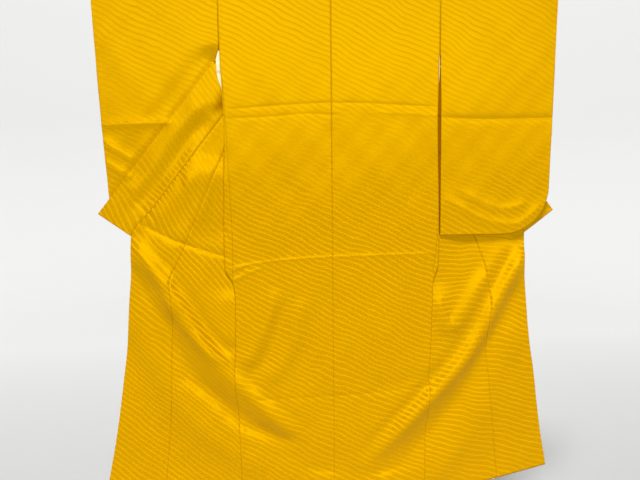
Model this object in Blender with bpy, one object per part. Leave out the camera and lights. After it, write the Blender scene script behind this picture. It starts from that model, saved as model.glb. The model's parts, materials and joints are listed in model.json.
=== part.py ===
"""A lined silk kimono, hung by a rod through its sleeves and seen from its back.

Metres, +Z up. The viewer stands at -Y, so -Y is the side of the garment's back. The origin is the
hook's seat. Each front is opened outwards: from the neck a crease runs down to the side seam, and
everything beyond the crease is turned over, so that the front, the overlap and the collar show their
outer face beside the back.
The left front passes in front of its sleeve, and the right front behind its own.
"""

import math

import bmesh
import bpy
from mathutils import Vector

# Driving sizes of the cut, in metres
BODY_LENGTH = 1.56
SHOULDER_WIDTH = 0.31
NECK_HALF = 0.093
NECK_DROP = 0.025
ARMHOLE = 0.22
SLEEVE_LENGTH = 0.755
SLEEVE_ROUND = 0.135
CUFF = 0.23
CREASE_END = 0.875

# Walls and clearances
WALL = 0.0015
COLLAR_WALL = 0.0020
SEAM_GAP = 0.0004
LAYER_STEP = 0.0029

# Rod and hook
ROD_RADIUS = 0.008
ROD_LENGTH = 1.35
FERRULE_RADIUS = 0.0100
FERRULE_LENGTH = 0.030
HOOK_RISE = 0.125
HOOK_WIRE = 0.002
HOOK_INNER = 0.020
REST_GAP = 0.00045

FOLD_RADIUS = ROD_RADIUS + REST_GAP + WALL / 2
QUARTER = math.pi / 2 * FOLD_RADIUS
ARC_SHORTENS = QUARTER - FOLD_RADIUS
ROD_Z = -HOOK_RISE
SHOULDER_Z = ROD_Z + FOLD_RADIUS

MM = 0.001
LEFT, RIGHT = -1, 1


def table(columns, rows):
    """A table read by column name."""
    names = columns.split()
    return {name: [row[i] for row in rows] for i, name in enumerate(names)}


def read(source, key_column, column, key):
    """The column's value at a key, on a smooth curve through the rows."""
    keys, values = source[key_column], source[column]
    key = min(max(key, keys[0]), keys[-1])
    i = max(j for j in range(len(keys) - 1) if keys[j] <= key)
    count = len(keys) - 1
    slopes = [(values[j + 1] - values[j]) / (keys[j + 1] - keys[j]) for j in range(count)]

    def tangent(j):
        if j in (0, len(keys) - 1) or slopes[j - 1] * slopes[j] <= 0:
            return 0.0 if 0 < j < len(keys) - 1 else slopes[min(j, len(slopes) - 1)]
        return 2 * slopes[j - 1] * slopes[j] / (slopes[j - 1] + slopes[j])

    span = keys[i + 1] - keys[i]
    t = (key - keys[i]) / span
    h = t * t * (3 - 2 * t)
    return ((1 - h) * values[i] + h * values[i + 1]
            + span * (t * (1 - t) ** 2 * tangent(i) - t * t * (1 - t) * tangent(i + 1)))


# The back's side edge: how far out it lies at each distance down the cloth
SIDE = {
    LEFT: table("down out", [
        (0.00, 0.3100), (0.22, 0.3085), (0.34, 0.3040), (0.45, 0.3005), (0.62, 0.3040),
        (0.76, 0.3070), (0.84, 0.3060), (0.88, 0.2860), (0.93, 0.2790), (1.05, 0.2810),
        (1.18, 0.2850), (1.27, 0.2770), (1.40, 0.2730), (1.56, 0.2700)]),
    RIGHT: table("down out", [
        (0.00, 0.3100), (0.22, 0.3075), (0.34, 0.3050), (0.45, 0.3035), (0.62, 0.3070),
        (0.76, 0.3090), (0.84, 0.3070), (0.89, 0.2930), (0.95, 0.2900), (1.05, 0.2880),
        (1.18, 0.2820), (1.27, 0.2810), (1.40, 0.2720), (1.56, 0.2690)]),
}

# Where the turned front's seams lie, out from the centre and down from the shoulder: the overlap's
# seam, then the overlap's outer line (the collar seam above, its own free edge below)
SEAMS = {
    LEFT: table("down seam_out seam_z edge_out edge_z", [
        (0.10, 0.1202, -0.096, 0.1202, -0.096), (0.23, 0.155, -0.220, 0.155, -0.220),
        (0.36, 0.2145, -0.336, 0.2356, -0.322), (0.55, 0.3016, -0.504, 0.3535, -0.471),
        (0.70, 0.363, -0.643, 0.446, -0.589), (0.80, 0.403, -0.734, 0.508, -0.668),
        (0.86, 0.4275, -0.790, 0.563, -0.737), (0.957, 0.461, -0.877, 0.5665, -0.835),
        (1.04, 0.457, -0.960, 0.574, -0.919), (1.16, 0.462, -1.080, 0.584, -1.040),
        (1.26, 0.465, -1.180, 0.598, -1.141), (1.36, 0.471, -1.280, 0.613, -1.243),
        (1.46, 0.481, -1.380, 0.631, -1.344), (1.56, 0.492, -1.490, 0.654, -1.455)]),
    RIGHT: table("down seam_out seam_z edge_out edge_z", [
        (0.10, 0.1202, -0.096, 0.1202, -0.096), (0.23, 0.155, -0.220, 0.155, -0.220),
        (0.36, 0.2145, -0.336, 0.2356, -0.322), (0.55, 0.3016, -0.504, 0.3535, -0.471),
        (0.70, 0.365, -0.643, 0.448, -0.592), (0.80, 0.407, -0.734, 0.511, -0.675),
        (0.86, 0.430, -0.790, 0.567, -0.748), (0.957, 0.456, -0.877, 0.5655, -0.845),
        (1.04, 0.464, -0.960, 0.573, -0.930), (1.16, 0.454, -1.080, 0.582, -1.050),
        (1.26, 0.462, -1.180, 0.597, -1.150), (1.36, 0.473, -1.280, 0.610, -1.250),
        (1.46, 0.482, -1.380, 0.624, -1.350), (1.56, 0.492, -1.490, 0.643, -1.455)]),
}

# The collar's free edge, from the end of the over-collar to the collar's own end
OVER_COLLAR_END, COLLAR_END = 0.36, 0.86
COLLAR_EDGE = {
    LEFT: table("down out z", [(OVER_COLLAR_END, 0.325, -0.262), (COLLAR_END, 0.650, -0.674)]),
    RIGHT: table("down out z", [(OVER_COLLAR_END, 0.327, -0.262), (COLLAR_END, 0.653, -0.683)]),
}

# How deep each layer hangs, in millimetres behind the rod's axis: the back, the front at its armhole
# edge and at its crease, and the turned front outside the body
DEPTHS = table("down back front_side front_crease turned_left turned_right", [
    (0.00, -9.2, 9.2, 9.2, -10.4, 7.0), (0.03, -9.2, 9.0, 9.1, -10.4, 7.0),
    (0.10, -8.6, 5.0, 7.0, -10.4, 7.0), (0.22, -8.2, -2.6, 3.5, -10.4, 7.0),
    (0.26, -8.2, -5.2, 2.0, -10.8, 7.0), (0.40, -8.2, -5.2, -1.0, -11.3, 7.0),
    (0.60, -8.2, -5.2, -4.0, -12.0, 7.0), (0.72, -8.2, -5.2, -5.0, -12.6, 6.0),
    (0.86, -8.2, -5.2, -5.2, -12.8, -1.0), (1.00, -8.2, -5.2, -5.2, -9.6, -8.0),
    (1.56, -8.2, -5.2, -5.2, -8.2, -8.2)])

# The largest folds: four points along each, its depth in millimetres (below zero stands towards the
# viewer) and its half width. Each rises and dies away over a share of its length
FOLDS = table("x0 z0 x1 z1 x2 z2 x3 z3 depth half_width", [
    (-0.560, -0.745, -0.455, -0.890, -0.325, -1.110, -0.100, -1.330, -8.0, 0.085),
    (-0.560, -0.755, -0.452, -0.908, -0.330, -1.112, -0.105, -1.335, -9.0, 0.026),
    (-0.570, -0.800, -0.500, -0.950, -0.372, -1.175, -0.120, -1.380, 9.0, 0.033),
    (-0.565, -0.900, -0.505, -1.110, -0.395, -1.285, -0.190, -1.440, -7.0, 0.045),
    (0.565, -0.775, 0.495, -0.910, 0.365, -1.125, 0.100, -1.400, -7.0, 0.070),
    (0.566, -0.785, 0.500, -0.922, 0.370, -1.138, 0.105, -1.415, -9.0, 0.026),
    (0.570, -0.860, 0.482, -1.020, 0.385, -1.215, 0.180, -1.450, 9.0, 0.036),
    (0.570, -1.000, 0.485, -1.150, 0.400, -1.340, 0.270, -1.510, -8.0, 0.045),
    (0.300, -0.925, 0.333, -1.020, 0.385, -0.975, 0.455, -0.860, -6.0, 0.024),
    (-0.165, -0.890, -0.188, -0.980, -0.218, -1.050, -0.255, -1.115, -5.0, 0.022),
    (-0.140, -0.920, -0.162, -1.020, -0.195, -1.095, -0.235, -1.145, 4.0, 0.020),
    (-0.092, -0.920, -0.108, -1.020, -0.142, -1.100, -0.190, -1.165, -5.0, 0.028),
    (0.150, -1.450, 0.160, -1.500, 0.165, -1.540, 0.170, -1.580, -8.0, 0.060),
    (-0.030, -1.440, -0.040, -1.490, -0.045, -1.540, -0.050, -1.580, -8.0, 0.060),
    (-0.335, -0.350, -0.400, -0.430, -0.470, -0.520, -0.560, -0.630, -4.0, 0.024),
    (-0.345, -0.405, -0.415, -0.495, -0.475, -0.570, -0.545, -0.655, 5.0, 0.026),
    (-0.345, -0.520, -0.400, -0.585, -0.450, -0.645, -0.510, -0.715, -4.0, 0.030),
])
FOLD_STEPS = 18
FOLD_RISE = 0.22


def smooth(low, high, value):
    """0 below low, 1 above high, and a smooth step between."""
    t = min(max((value - low) / (high - low), 0.0), 1.0)
    return t * t * (3 - 2 * t)


def blend(a, b, share):
    return a + (b - a) * share


def fold_lines():
    """Each fold as the points of a smooth line, with its depth and half width in metres."""
    lines = []
    for row in range(len(FOLDS["x0"])):
        corners = [Vector((FOLDS[f"x{i}"][row], FOLDS[f"z{i}"][row])) for i in range(4)]
        points = []
        for step in range(FOLD_STEPS + 1):
            i = min(3 * step // FOLD_STEPS, 2)
            t = 3 * step / FOLD_STEPS - i
            before, after = corners[max(i - 1, 0)], corners[min(i + 2, 3)]
            start, end = corners[i], corners[i + 1]
            bend = 2 * before - 5 * start + 4 * end - after
            twist = 3 * start - before - 3 * end + after
            points.append(0.5 * (2 * start + (end - before) * t + bend * t * t + twist * t ** 3))
        lines.append((points, FOLDS["depth"][row] * MM, FOLDS["half_width"][row]))
    return lines


FOLD_LINES = fold_lines()


def relief(x, z):
    """How far the folds move the cloth at a place, in metres along +Y."""
    place = Vector((x, z))
    moved = 0.0
    for points, fold_depth, half_width in FOLD_LINES:
        nearest, share = 9.0, 0.0
        for i in range(FOLD_STEPS):
            along = points[i + 1] - points[i]
            t = min(max((place - points[i]).dot(along) / along.length_squared, 0.0), 1.0)
            distance = (points[i] + along * t - place).length
            if distance < nearest:
                nearest, share = distance, (i + t) / FOLD_STEPS
        rise = smooth(0.0, FOLD_RISE, share + 0.02) * smooth(0.0, FOLD_RISE, 1.08 - share)
        moved += fold_depth * rise * math.exp(-(nearest / half_width) ** 2)
    return moved


def crease_out(down):
    """Where the front's crease lies: a straight line from the neck point to the side seam."""
    return blend(NECK_HALF, SIDE[LEFT]["out"][7], down / CREASE_END)


def depth(column, down):
    return read(DEPTHS, "down", column, down) * MM


def back_depth(x, z):
    return depth("back", -z) + relief(x, z)


def front_depth(side, x, z):
    """The upper front, not turned: from its crease to its armhole edge."""
    down = -z
    crease = crease_out(down)
    share = min(max((abs(x) - crease) / max(SHOULDER_WIDTH - crease, 0.01), 0.0), 1.0)
    return blend(depth("front_crease", down), depth("front_side", down), share) + relief(x, z)


def turned_depth(side, x, z, folds=None):
    """The turned front, overlap and collar: one step behind the upper front, then out to their own depth."""
    down = -z
    natural = relief(x, z)
    inner = front_depth(side, x, z) - natural + LAYER_STEP
    folds = natural if folds is None else folds * natural
    inner = blend(inner, depth("back", down), smooth(CREASE_END + 0.005, CREASE_END + 0.065, down))
    outer = depth("turned_left" if side == LEFT else "turned_right", down)
    return blend(inner, outer, smooth(SHOULDER_WIDTH, SHOULDER_WIDTH + 0.08, abs(x))) + folds


def back_z(side, out, down):
    """The height of a point of the back: the hem rises a little towards the side seam."""
    across = out / read(SIDE[side], "down", "out", down)
    return ARC_SHORTENS - down + 0.020 * smooth(0.9, BODY_LENGTH, down) * across ** 2


def over_rod(down, sign, flat_depth):
    """Depth and height of cloth that passes over the rod: a quarter turn, then straight down."""
    if down >= QUARTER:
        return flat_depth, ARC_SHORTENS - down
    angle = down / FOLD_RADIUS
    return sign * FOLD_RADIUS * math.sin(angle), -FOLD_RADIUS * (1 - math.cos(angle))


def spread(low, high, count):
    return [blend(low, high, i / count) for i in range(count + 1)]


SHOULDER_ROWS = [0.00022, 0.0010, 0.0044, 0.0077, 0.0110, QUARTER, 0.026]
UPPER_ROWS = [0.045, 0.10, 0.16, ARMHOLE, 0.246, 0.262, 0.278, 0.30, 0.35, 0.45, 0.55, 0.65]
UPPER_ROWS += [0.74, 0.80, 0.84]
LOWER_ROWS = [COLLAR_END, 0.88] + spread(0.91, BODY_LENGTH, 20)
BODY_ROWS = SHOULDER_ROWS + UPPER_ROWS + LOWER_ROWS
TURNED_ROWS = spread(0.24, 0.84, 20)


def make_material(name, colour, roughness, metallic=0.0):
    material = bpy.data.materials.new(name)
    material.use_nodes = True
    shader = material.node_tree.nodes["Principled BSDF"]
    shader.inputs["Base Color"].default_value = (*colour, 1.0)
    shader.inputs["Roughness"].default_value = roughness
    shader.inputs["Metallic"].default_value = metallic
    material.diffuse_color = (*colour, 1.0)
    return material


def add_object(name, mesh, material):
    mesh.materials.append(material)
    node = bpy.data.objects.new(name, mesh)
    bpy.context.scene.collection.objects.link(node)
    return node


def cloth(name, columns, rows, place, material, wall=WALL):
    """A cloth wall: a grid of columns by rows, each of its points set by place(column share, row value)."""
    grid = bmesh.new()
    bmesh.ops.create_grid(grid, x_segments=len(columns) - 1, y_segments=len(rows) - 1, size=0.5)
    for vertex in grid.verts:
        column = round((vertex.co.x + 0.5) * (len(columns) - 1))
        row = round((vertex.co.y + 0.5) * (len(rows) - 1))
        x, y, z = place(columns[column], rows[row])
        vertex.co = (x, y, z + SHOULDER_Z)
    bmesh.ops.recalc_face_normals(grid, faces=grid.faces)
    mesh = bpy.data.meshes.new(name)
    grid.to_mesh(mesh)
    grid.free()
    mesh.shade_smooth()
    node = add_object(name, mesh, material)
    solid = node.modifiers.new("wall", "SOLIDIFY")
    solid.thickness = wall
    solid.offset = 0.0
    solid.use_rim = True
    return node


def between(start, end, across, gap=SEAM_GAP):
    """A point on the line from start to end, kept half a seam gap inside both ends."""
    span = (end - start).length
    inset = min(gap / 2 / max(span, gap), 0.4)
    return start + (end - start) * blend(inset, 1 - inset, across)


BACK_COLUMNS = [0.0, 0.10, 0.18, 0.235, 0.252, 0.270, 0.280, 0.290, 0.297, 0.304]
BACK_COLUMNS += [0.36, 0.46, 0.60, 0.74, 0.87, 1.0]


def neck_drop(out):
    """How far the back neck's edge lies below the shoulder fold, along the cloth."""
    return (NECK_DROP + QUARTER) * (1 - (out / NECK_HALF) ** 2.6) if out < NECK_HALF else 0.0


def make_back(side, name, material):
    def place(across, down):
        out_side = read(SIDE[side], "down", "out", down)
        out = blend(SEAM_GAP / 2, out_side - SEAM_GAP / 2, across)
        lowered = down + neck_drop(out) * (1 - down / 0.16) if down < 0.16 else down
        y, z = over_rod(lowered, -1, 0.0)
        if lowered >= QUARTER:
            z = back_z(side, out, lowered)
            y = back_depth(side * out, z)
        return side * out, y, z

    return cloth(name, BACK_COLUMNS, BODY_ROWS, place, material)


def make_upper_front(side, name, material):
    """The front from the shoulder down, as far in as its crease."""
    rows = SHOULDER_ROWS + UPPER_ROWS

    def place(across, down):
        edge = read(SIDE[side], "down", "out", down)
        edge += PEEK[side] * smooth(0.246, 0.278, down) * (1 - smooth(0.30, 0.35, down)) - SEAM_GAP / 2
        crease = crease_out(down) + 0.0012
        out = blend(crease, edge, across)
        y, z = over_rod(down, 1, 0.0)
        if down >= QUARTER:
            z = ARC_SHORTENS - down
            y = front_depth(side, side * out, z)
        return side * out, y, z

    return cloth(name, spread(0, 1, 6), rows, place, material)


def start_point(side, down):
    """Where the turned front begins: on the crease above, and at the side seam below."""
    if down < CREASE_END:
        return Vector((crease_out(down), ARC_SHORTENS - down))
    out = read(SIDE[side], "down", "out", down)
    return Vector((out, back_z(side, out, down)))


def seam_point(side, line, down):
    source = SEAMS[side]
    return Vector((read(source, "down", line + "_out", down), read(source, "down", line + "_z", down)))


def overlap_seam(side, down):
    return seam_point(side, "seam", down)


def outer_line(side, down):
    return seam_point(side, "edge", down)


def edge_point(side, down):
    source = COLLAR_EDGE[side]
    return Vector((read(source, "down", "out", down), read(source, "down", "z", down)))


def turned_place(side, start, end):
    """A place function for a panel of the turned front, between two of its lines."""
    def place(across, down):
        point = between(start(side, down), end(side, down), across)
        x, z = side * point.x, point.y
        return x, turned_depth(side, x, z), z

    return place


def make_front(side, name, material):
    rows = [0.12, 0.16, 0.20] + TURNED_ROWS + LOWER_ROWS
    return cloth(name, spread(0, 1, 8), rows, turned_place(side, start_point, overlap_seam), material)


def make_overlap(side, name, material):
    rows = [row for row in TURNED_ROWS if row > 0.25] + LOWER_ROWS
    return cloth(name, spread(0, 1, 5), rows, turned_place(side, overlap_seam, outer_line), material)


def make_collar(side, name, material):
    rows = [OVER_COLLAR_END + 0.0004]
    rows += [row for row in TURNED_ROWS if row > OVER_COLLAR_END + 0.01] + [COLLAR_END]
    place = turned_place(side, outer_line, edge_point)
    return cloth(name, spread(0, 1, 6), rows, place, material, COLLAR_WALL)


# The over-collar, from the middle of the back neck round to the front, for one half: its seam, then its
# free edge. Depths are in millimetres
NECK_BAND = table("row seam_out seam_y seam_z edge_out edge_y edge_z", [
    (0, 0.0000, -9.7, -0.0331, 0.000, -19.5, 0.025), (1, 0.0500, -9.9, -0.0253, 0.053, -19.0, 0.031),
    (2, 0.0790, -11.2, -0.0070, 0.083, -17.0, 0.044), (3, 0.0862, -7.5, -0.0005, 0.090, -12.0, 0.051),
    (4, 0.0912, -2.0, 0.0022, 0.094, -4.0, 0.056), (5, 0.0922, 7.5, -0.0005, 0.100, 12.0, 0.054),
    (6, 0.0935, 11.5, -0.0110, 0.111, 30.0, 0.035), (7, 0.0990, 13.0, -0.0450, 0.134, 50.0, -0.018),
    (8, 0.1130, 12.5, -0.0900, 0.170, 44.0, -0.062), (9, 0.1340, 11.5, -0.1500, 0.215, 26.0, -0.112),
    (10, 0.1570, 8.5, -0.2180, 0.244, 12.0, -0.158)])


def band_point(side, line, share):
    """A point of the over-collar's seam or free edge: share 0 is the centre back, 1 its end in front."""
    rows = len(NECK_BAND["row"]) - 1
    last = 2.0
    place = share * (rows + last)
    if place <= rows:
        out, deep, z = (read(NECK_BAND, "row", line + axis, place) for axis in ("_out", "_y", "_z"))
        return Vector((side * out, deep * MM, z))
    down = blend(0.23, OVER_COLLAR_END, (place - rows) / last)
    end = seam_point(side, "edge", down)
    if line == "edge":
        t = (down - 0.23) / (OVER_COLLAR_END - 0.23)
        top = Vector((NECK_BAND["edge_out"][-1], NECK_BAND["edge_z"][-1]))
        end = top + (edge_point(side, OVER_COLLAR_END) - top) * t
    settle = smooth(rows, rows + 1, place)
    own = turned_depth(side, side * end.x, end.y)
    return Vector((side * end.x, blend(max(own, NECK_BAND[f"{line}_y"][-1] * MM), own, settle), end.y))


def make_over_collar(name, material):
    """One band round the neck, from the left front's tick seam to the right front's."""
    places = spread(0, 4, 8) + [4.35, 4.7] + spread(5, 8, 6) + [8.7, 9.4, 10, 10.6, 11.2, 11.97]
    half = [place / 12 for place in places]
    rows = [-share for share in reversed(half[1:])] + half

    def place(across, share):
        side = LEFT if share < 0 else RIGHT
        seam = band_point(side, "seam", abs(share))
        edge = band_point(side, "edge", abs(share))
        inset = SEAM_GAP / (edge - seam).length
        return seam + (edge - seam) * blend(inset, 1.0, across)

    return cloth(name, spread(0, 1, 4), rows, place, material, COLLAR_WALL)


SLEEVE_OUT = {
    LEFT: table("down out", [(0.0, 0.6500), (0.20, 0.6420), (0.43, 0.6310), (0.62, 0.6200), (0.755, 0.6160)]),
    RIGHT: table("down out", [(0.0, 0.6500), (0.23, 0.6430), (0.41, 0.6390), (0.58, 0.6340), (0.755, 0.6300)]),
}
# How thick each sleeve hangs, in millimetres between its two walls, at the body seam and in its middle
SLEEVE_GAPS = table("down seam middle", [
    (0.00, 18.4, 18.4), (0.03, 18.3, 18.3), (0.10, 13.6, 14.6), (0.22, 5.6, 12.6),
    (0.26, 3.4, 12.6), (0.45, 3.4, 12.4), (0.755, 3.4, 10.5)])
SLEEVE_COLUMNS = [0.0, 0.08, 0.16, 0.24, 0.33, 0.42, 0.51, 0.60, 0.70, 0.80, 0.88, 0.95, 1.0]
SLEEVE_ROWS = SHOULDER_ROWS + [0.045, 0.10, 0.16, ARMHOLE, 0.229, 0.238, 0.255, 0.285, 0.315]
SLEEVE_ROWS += [0.345, 0.375, 0.405, 0.44, 0.475, 0.51, 0.545, 0.58, 0.62, 0.655, 0.685]
SLEEVE_ROWS += [0.710, 0.730, 0.745, 0.7535]
SEWN_GAP = 2.1


def past_collar_edge(x, z):
    """How far a place lies below the left collar's free edge: above zero it is covered."""
    start, end = Vector((-0.314, -0.249)), Vector((-0.650, -0.674))
    along = (end - start).normalized()
    normal = Vector((-along.y, along.x))
    return normal.dot(Vector((x, z)) - start)


def sleeve_cover(side, x, z):
    """How far the turned front covers this place of the sleeve: 0 is not at all, 1 is wholly."""
    if side == RIGHT:
        return 0.0
    near_seam = 1 - smooth(0.33, 0.42, abs(x))
    below_armhole = smooth(ARMHOLE - 0.0015, 0.238, -z)
    return smooth(-0.080, -0.022, past_collar_edge(x, z)) * blend(1.0, below_armhole, near_seam)


def sleeve_back_depth(side, x, z):
    """The sleeve's back wall: as deep as the back, and behind the turned front where that covers it."""
    own = depth("back", min(-z, ARMHOLE)) - 0.4 * MM * smooth(0.33, 0.45, abs(x))
    covered = sleeve_cover(side, x, z)
    if covered == 0:
        return own
    under = turned_depth(side, x, z, 0.35) + LAYER_STEP + blend(0.7, 3.2, smooth(0.33, 0.42, abs(x))) * MM
    return blend(own, under, covered)


def sleeve_front_depth(side, x, z, edge_out):
    """The sleeve's front wall: apart from the back wall in its middle, and near it where the two are sewn."""
    down = -z
    back = sleeve_back_depth(side, x, z)
    middle = smooth(SHOULDER_WIDTH, SHOULDER_WIDTH + 0.09, abs(x))
    own = depth("back", min(down, ARMHOLE)) + 3.5 * MM * middle * sleeve_cover(side, x, z)
    seam_gap, middle_gap = (read(SLEEVE_GAPS, "down", name, down) for name in ("seam", "middle"))
    open_gap = blend(seam_gap, middle_gap, middle)
    near = 1 - smooth(0.0, 0.05, edge_out - abs(x))
    sewn = max(near * smooth(CUFF, CUFF + 0.05, down), 1 - smooth(0.0, 0.06, SLEEVE_LENGTH - down))
    apart = max(own, back * (1 - middle) + own * middle) + open_gap * MM
    front = blend(apart, back + SEWN_GAP * MM, sewn)
    front = max(front, back + SEWN_GAP * MM)
    if side == RIGHT and down >= ARMHOLE:
        front = min(front, turned_depth(side, x, z) - LAYER_STEP - 0.3 * MM)
    return front


def make_sleeve(side, layer, name, material):
    """One wall of a sleeve: layer -1 is its back, 1 its front. The two meet at the outer edge and the bottom."""
    def place(across, down):
        corner = max(down - (SLEEVE_LENGTH - SLEEVE_ROUND), 0.0)
        rounded = SLEEVE_ROUND - math.sqrt(max(SLEEVE_ROUND ** 2 - corner ** 2, 0.0))
        out_edge = read(SLEEVE_OUT[side], "down", "out", down) - rounded
        inner = SHOULDER_WIDTH + SEAM_GAP / 2 + 0.003 * smooth(ARMHOLE, 0.40, down)
        out = blend(inner, out_edge, across)
        y, z = over_rod(down, layer, 0.0)
        if down >= QUARTER:
            z = ARC_SHORTENS - down
            if layer < 0:
                y = sleeve_back_depth(side, side * out, z)
            else:
                y = sleeve_front_depth(side, side * out, z, out_edge)
        return side * out, y, z

    return cloth(name, SLEEVE_COLUMNS, SLEEVE_ROWS, place, material)


# How far the upper front's free edge, and the lining on it, stand out past the back below each armhole
PEEK = {LEFT: 0.0125, RIGHT: 0.0}


def make_lining(side, name, material):
    """The strip of lining that shows in the underarm opening, on the upper front's inner face."""
    width = PEEK[side] - 0.0015
    lift = WALL / 2 + REST_GAP + 0.0004

    def place(across, down):
        edge = read(SIDE[side], "down", "out", down) + PEEK[side]
        edge = blend(read(SIDE[side], "down", "out", down) + 0.001, edge, smooth(0.22, 0.265, down))
        out = edge - 0.0006 - width * (1 - across)
        z = ARC_SHORTENS - down
        return side * out, front_depth(side, side * out, z) - lift - 0.0004, z

    return cloth(name, spread(0, 1, 2), [0.266, 0.276, 0.286, 0.298], place, material, 0.0008)


def make_rod(name, material):
    """A plain round rod with rounded ends and a ferrule in its middle, turned about its own axis."""
    half, nose = ROD_LENGTH / 2, 0.006
    outline = [(-half, 0.0), (-half + 0.0006, ROD_RADIUS - 0.004), (-half + 0.002, ROD_RADIUS - 0.0015),
               (-half + nose, ROD_RADIUS), (-FERRULE_LENGTH / 2 - 0.002, ROD_RADIUS),
               (-FERRULE_LENGTH / 2, FERRULE_RADIUS)]
    outline += [(-x, radius) for x, radius in reversed(outline)]
    turned = bmesh.new()
    ring = [turned.verts.new((x, radius, ROD_Z)) for x, radius in outline]
    edges = [turned.edges.new(pair) for pair in zip(ring, ring[1:])]
    for vertex in ring:
        vertex.co = (vertex.co.x, 0.0, ROD_Z + vertex.co.y)
    bmesh.ops.spin(turned, geom=ring + edges, cent=(0, 0, ROD_Z), axis=(1, 0, 0),
                   angle=2 * math.pi, steps=20, use_merge=True)
    bmesh.ops.remove_doubles(turned, verts=turned.verts, dist=0.00005)
    bmesh.ops.recalc_face_normals(turned, faces=turned.faces)
    mesh = bpy.data.meshes.new(name)
    turned.to_mesh(mesh)
    turned.free()
    mesh.shade_smooth()
    mesh.set_sharp_from_angle(angle=math.radians(40))
    return add_object(name, mesh, material)


def make_hook(name, material):
    """A wire hook: a straight stem from the ferrule, then an open round crook over the seat."""
    middle = HOOK_INNER + HOOK_WIRE
    centre_z = -HOOK_INNER
    stem_foot = ROD_Z + FERRULE_RADIUS + REST_GAP
    points = [(0.0, stem_foot), (0.0, stem_foot + 0.02), (0.0, centre_z - middle - 0.022),
              (0.002, centre_z - middle - 0.012), (0.009, centre_z - middle - 0.003)]
    for degrees in range(-50, 216, 19):
        angle = math.radians(degrees)
        points.append((middle * math.cos(angle), centre_z + middle * math.sin(angle)))
    wire = bpy.data.curves.new(name, "CURVE")
    wire.dimensions = "3D"
    wire.bevel_depth = HOOK_WIRE
    wire.bevel_resolution = 2
    wire.use_fill_caps = True
    line = wire.splines.new("POLY")
    line.points.add(len(points) - 1)
    for point, (x, z) in zip(line.points, points):
        point.co = (x, 0.0, z, 1.0)
    return add_object(name, wire, material)


def main():
    for old in list(bpy.data.objects):
        bpy.data.objects.remove(old)
    silk = make_material("yellow silk", (0.86, 0.49, 0.01), 0.5)
    pale = make_material("pale lining", (0.90, 0.80, 0.55), 0.6)
    wood = make_material("pale wood", (0.62, 0.45, 0.28), 0.5)
    wire = make_material("hook wire", (0.72, 0.72, 0.74), 0.3, 1.0)
    for side, word in ((LEFT, "left"), (RIGHT, "right")):
        make_back(side, f"back_{word}", silk)
        make_upper_front(side, f"front_{word}_shoulder", silk)
        make_front(side, f"front_{word}", silk)
        make_overlap(side, f"overlap_{word}", silk)
        make_collar(side, f"collar_{word}", silk)
        make_sleeve(side, -1, f"sleeve_{word}_back", silk)
        make_sleeve(side, 1, f"sleeve_{word}_front", silk)
    make_lining(LEFT, "lining_left", pale)
    make_over_collar("over_collar", silk)
    make_rod("rod", wood)
    make_hook("hook", wire)


main()
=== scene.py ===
# %% [markdown]
# # A kimono on its rod
#
# The solids of the part come first, as a fixed frame. Every piece of silk below is drawn again over them,
# finer, with its own folds, seams and weave. All lengths are in metres.

import math

import bmesh
import bpy
import numpy as np
from mathutils import Matrix, Vector
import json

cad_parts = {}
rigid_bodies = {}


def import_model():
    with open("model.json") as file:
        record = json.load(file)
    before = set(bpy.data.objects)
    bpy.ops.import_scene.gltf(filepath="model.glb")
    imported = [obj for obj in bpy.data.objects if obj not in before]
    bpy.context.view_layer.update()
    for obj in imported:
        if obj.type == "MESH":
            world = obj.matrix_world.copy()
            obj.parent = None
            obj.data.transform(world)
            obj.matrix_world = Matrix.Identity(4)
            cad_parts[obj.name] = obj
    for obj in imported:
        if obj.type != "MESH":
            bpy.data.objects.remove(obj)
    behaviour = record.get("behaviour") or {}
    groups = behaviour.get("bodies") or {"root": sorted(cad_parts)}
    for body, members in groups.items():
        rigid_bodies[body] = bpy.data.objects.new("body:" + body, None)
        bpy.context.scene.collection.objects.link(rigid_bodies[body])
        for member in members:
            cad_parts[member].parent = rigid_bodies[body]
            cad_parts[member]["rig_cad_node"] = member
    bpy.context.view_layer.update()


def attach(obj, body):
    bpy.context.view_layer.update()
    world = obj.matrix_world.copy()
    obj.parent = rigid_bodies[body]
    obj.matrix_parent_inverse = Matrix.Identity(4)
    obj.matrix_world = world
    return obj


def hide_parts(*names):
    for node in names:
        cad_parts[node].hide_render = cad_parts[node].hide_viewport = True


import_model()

# %% [markdown]
# The camera stands where the photographer stood: two metres off, a little left of the middle, level with
# the waist and tipped six degrees down. Its place was worked out from the straight seams of the garment.

# %% Camera
# The top of the cloth, where it turns over the rod: the cut is measured down from here
SHOULDER_Z = -0.1158
CAMERA_PLACE = Vector((-0.203, -1.984, -0.550 + SHOULDER_Z))
YAW, PITCH, ROLL = math.radians(4.83), math.radians(6.0), math.radians(-0.58)
LENS_MM, SENSOR_MM = 39.375, 36

ahead = Vector((math.sin(YAW) * math.cos(PITCH), math.cos(YAW) * math.cos(PITCH), -math.sin(PITCH)))
level = Vector((math.cos(YAW), -math.sin(YAW), 0))
upright = level.cross(ahead)
camera_right = level * math.cos(ROLL) + upright * math.sin(ROLL)
camera_up = upright * math.cos(ROLL) - level * math.sin(ROLL)
aimed = Matrix((camera_right, camera_up, -ahead)).transposed().to_4x4()
camera = bpy.data.objects.new("camera", bpy.data.cameras.new("camera"))
camera.data.lens = LENS_MM
camera.data.sensor_width = SENSOR_MM
camera.matrix_world = Matrix.Translation(CAMERA_PLACE) @ aimed
bpy.context.scene.collection.objects.link(camera)
bpy.context.scene.camera = camera
bpy.context.scene.view_settings.view_transform = "Standard"
print("camera at", [round(value, 3) for value in CAMERA_PLACE])

# %% [markdown]
# A finish in Blender is a tree of nodes that ends in one shader. This helper adds nodes and joins them in
# short lines, and sets the shader's own inputs at the end, so that each finish below reads like a list of
# what the real one has: its colour, its relief and its gloss.

# %% A helper for finishes


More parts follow.
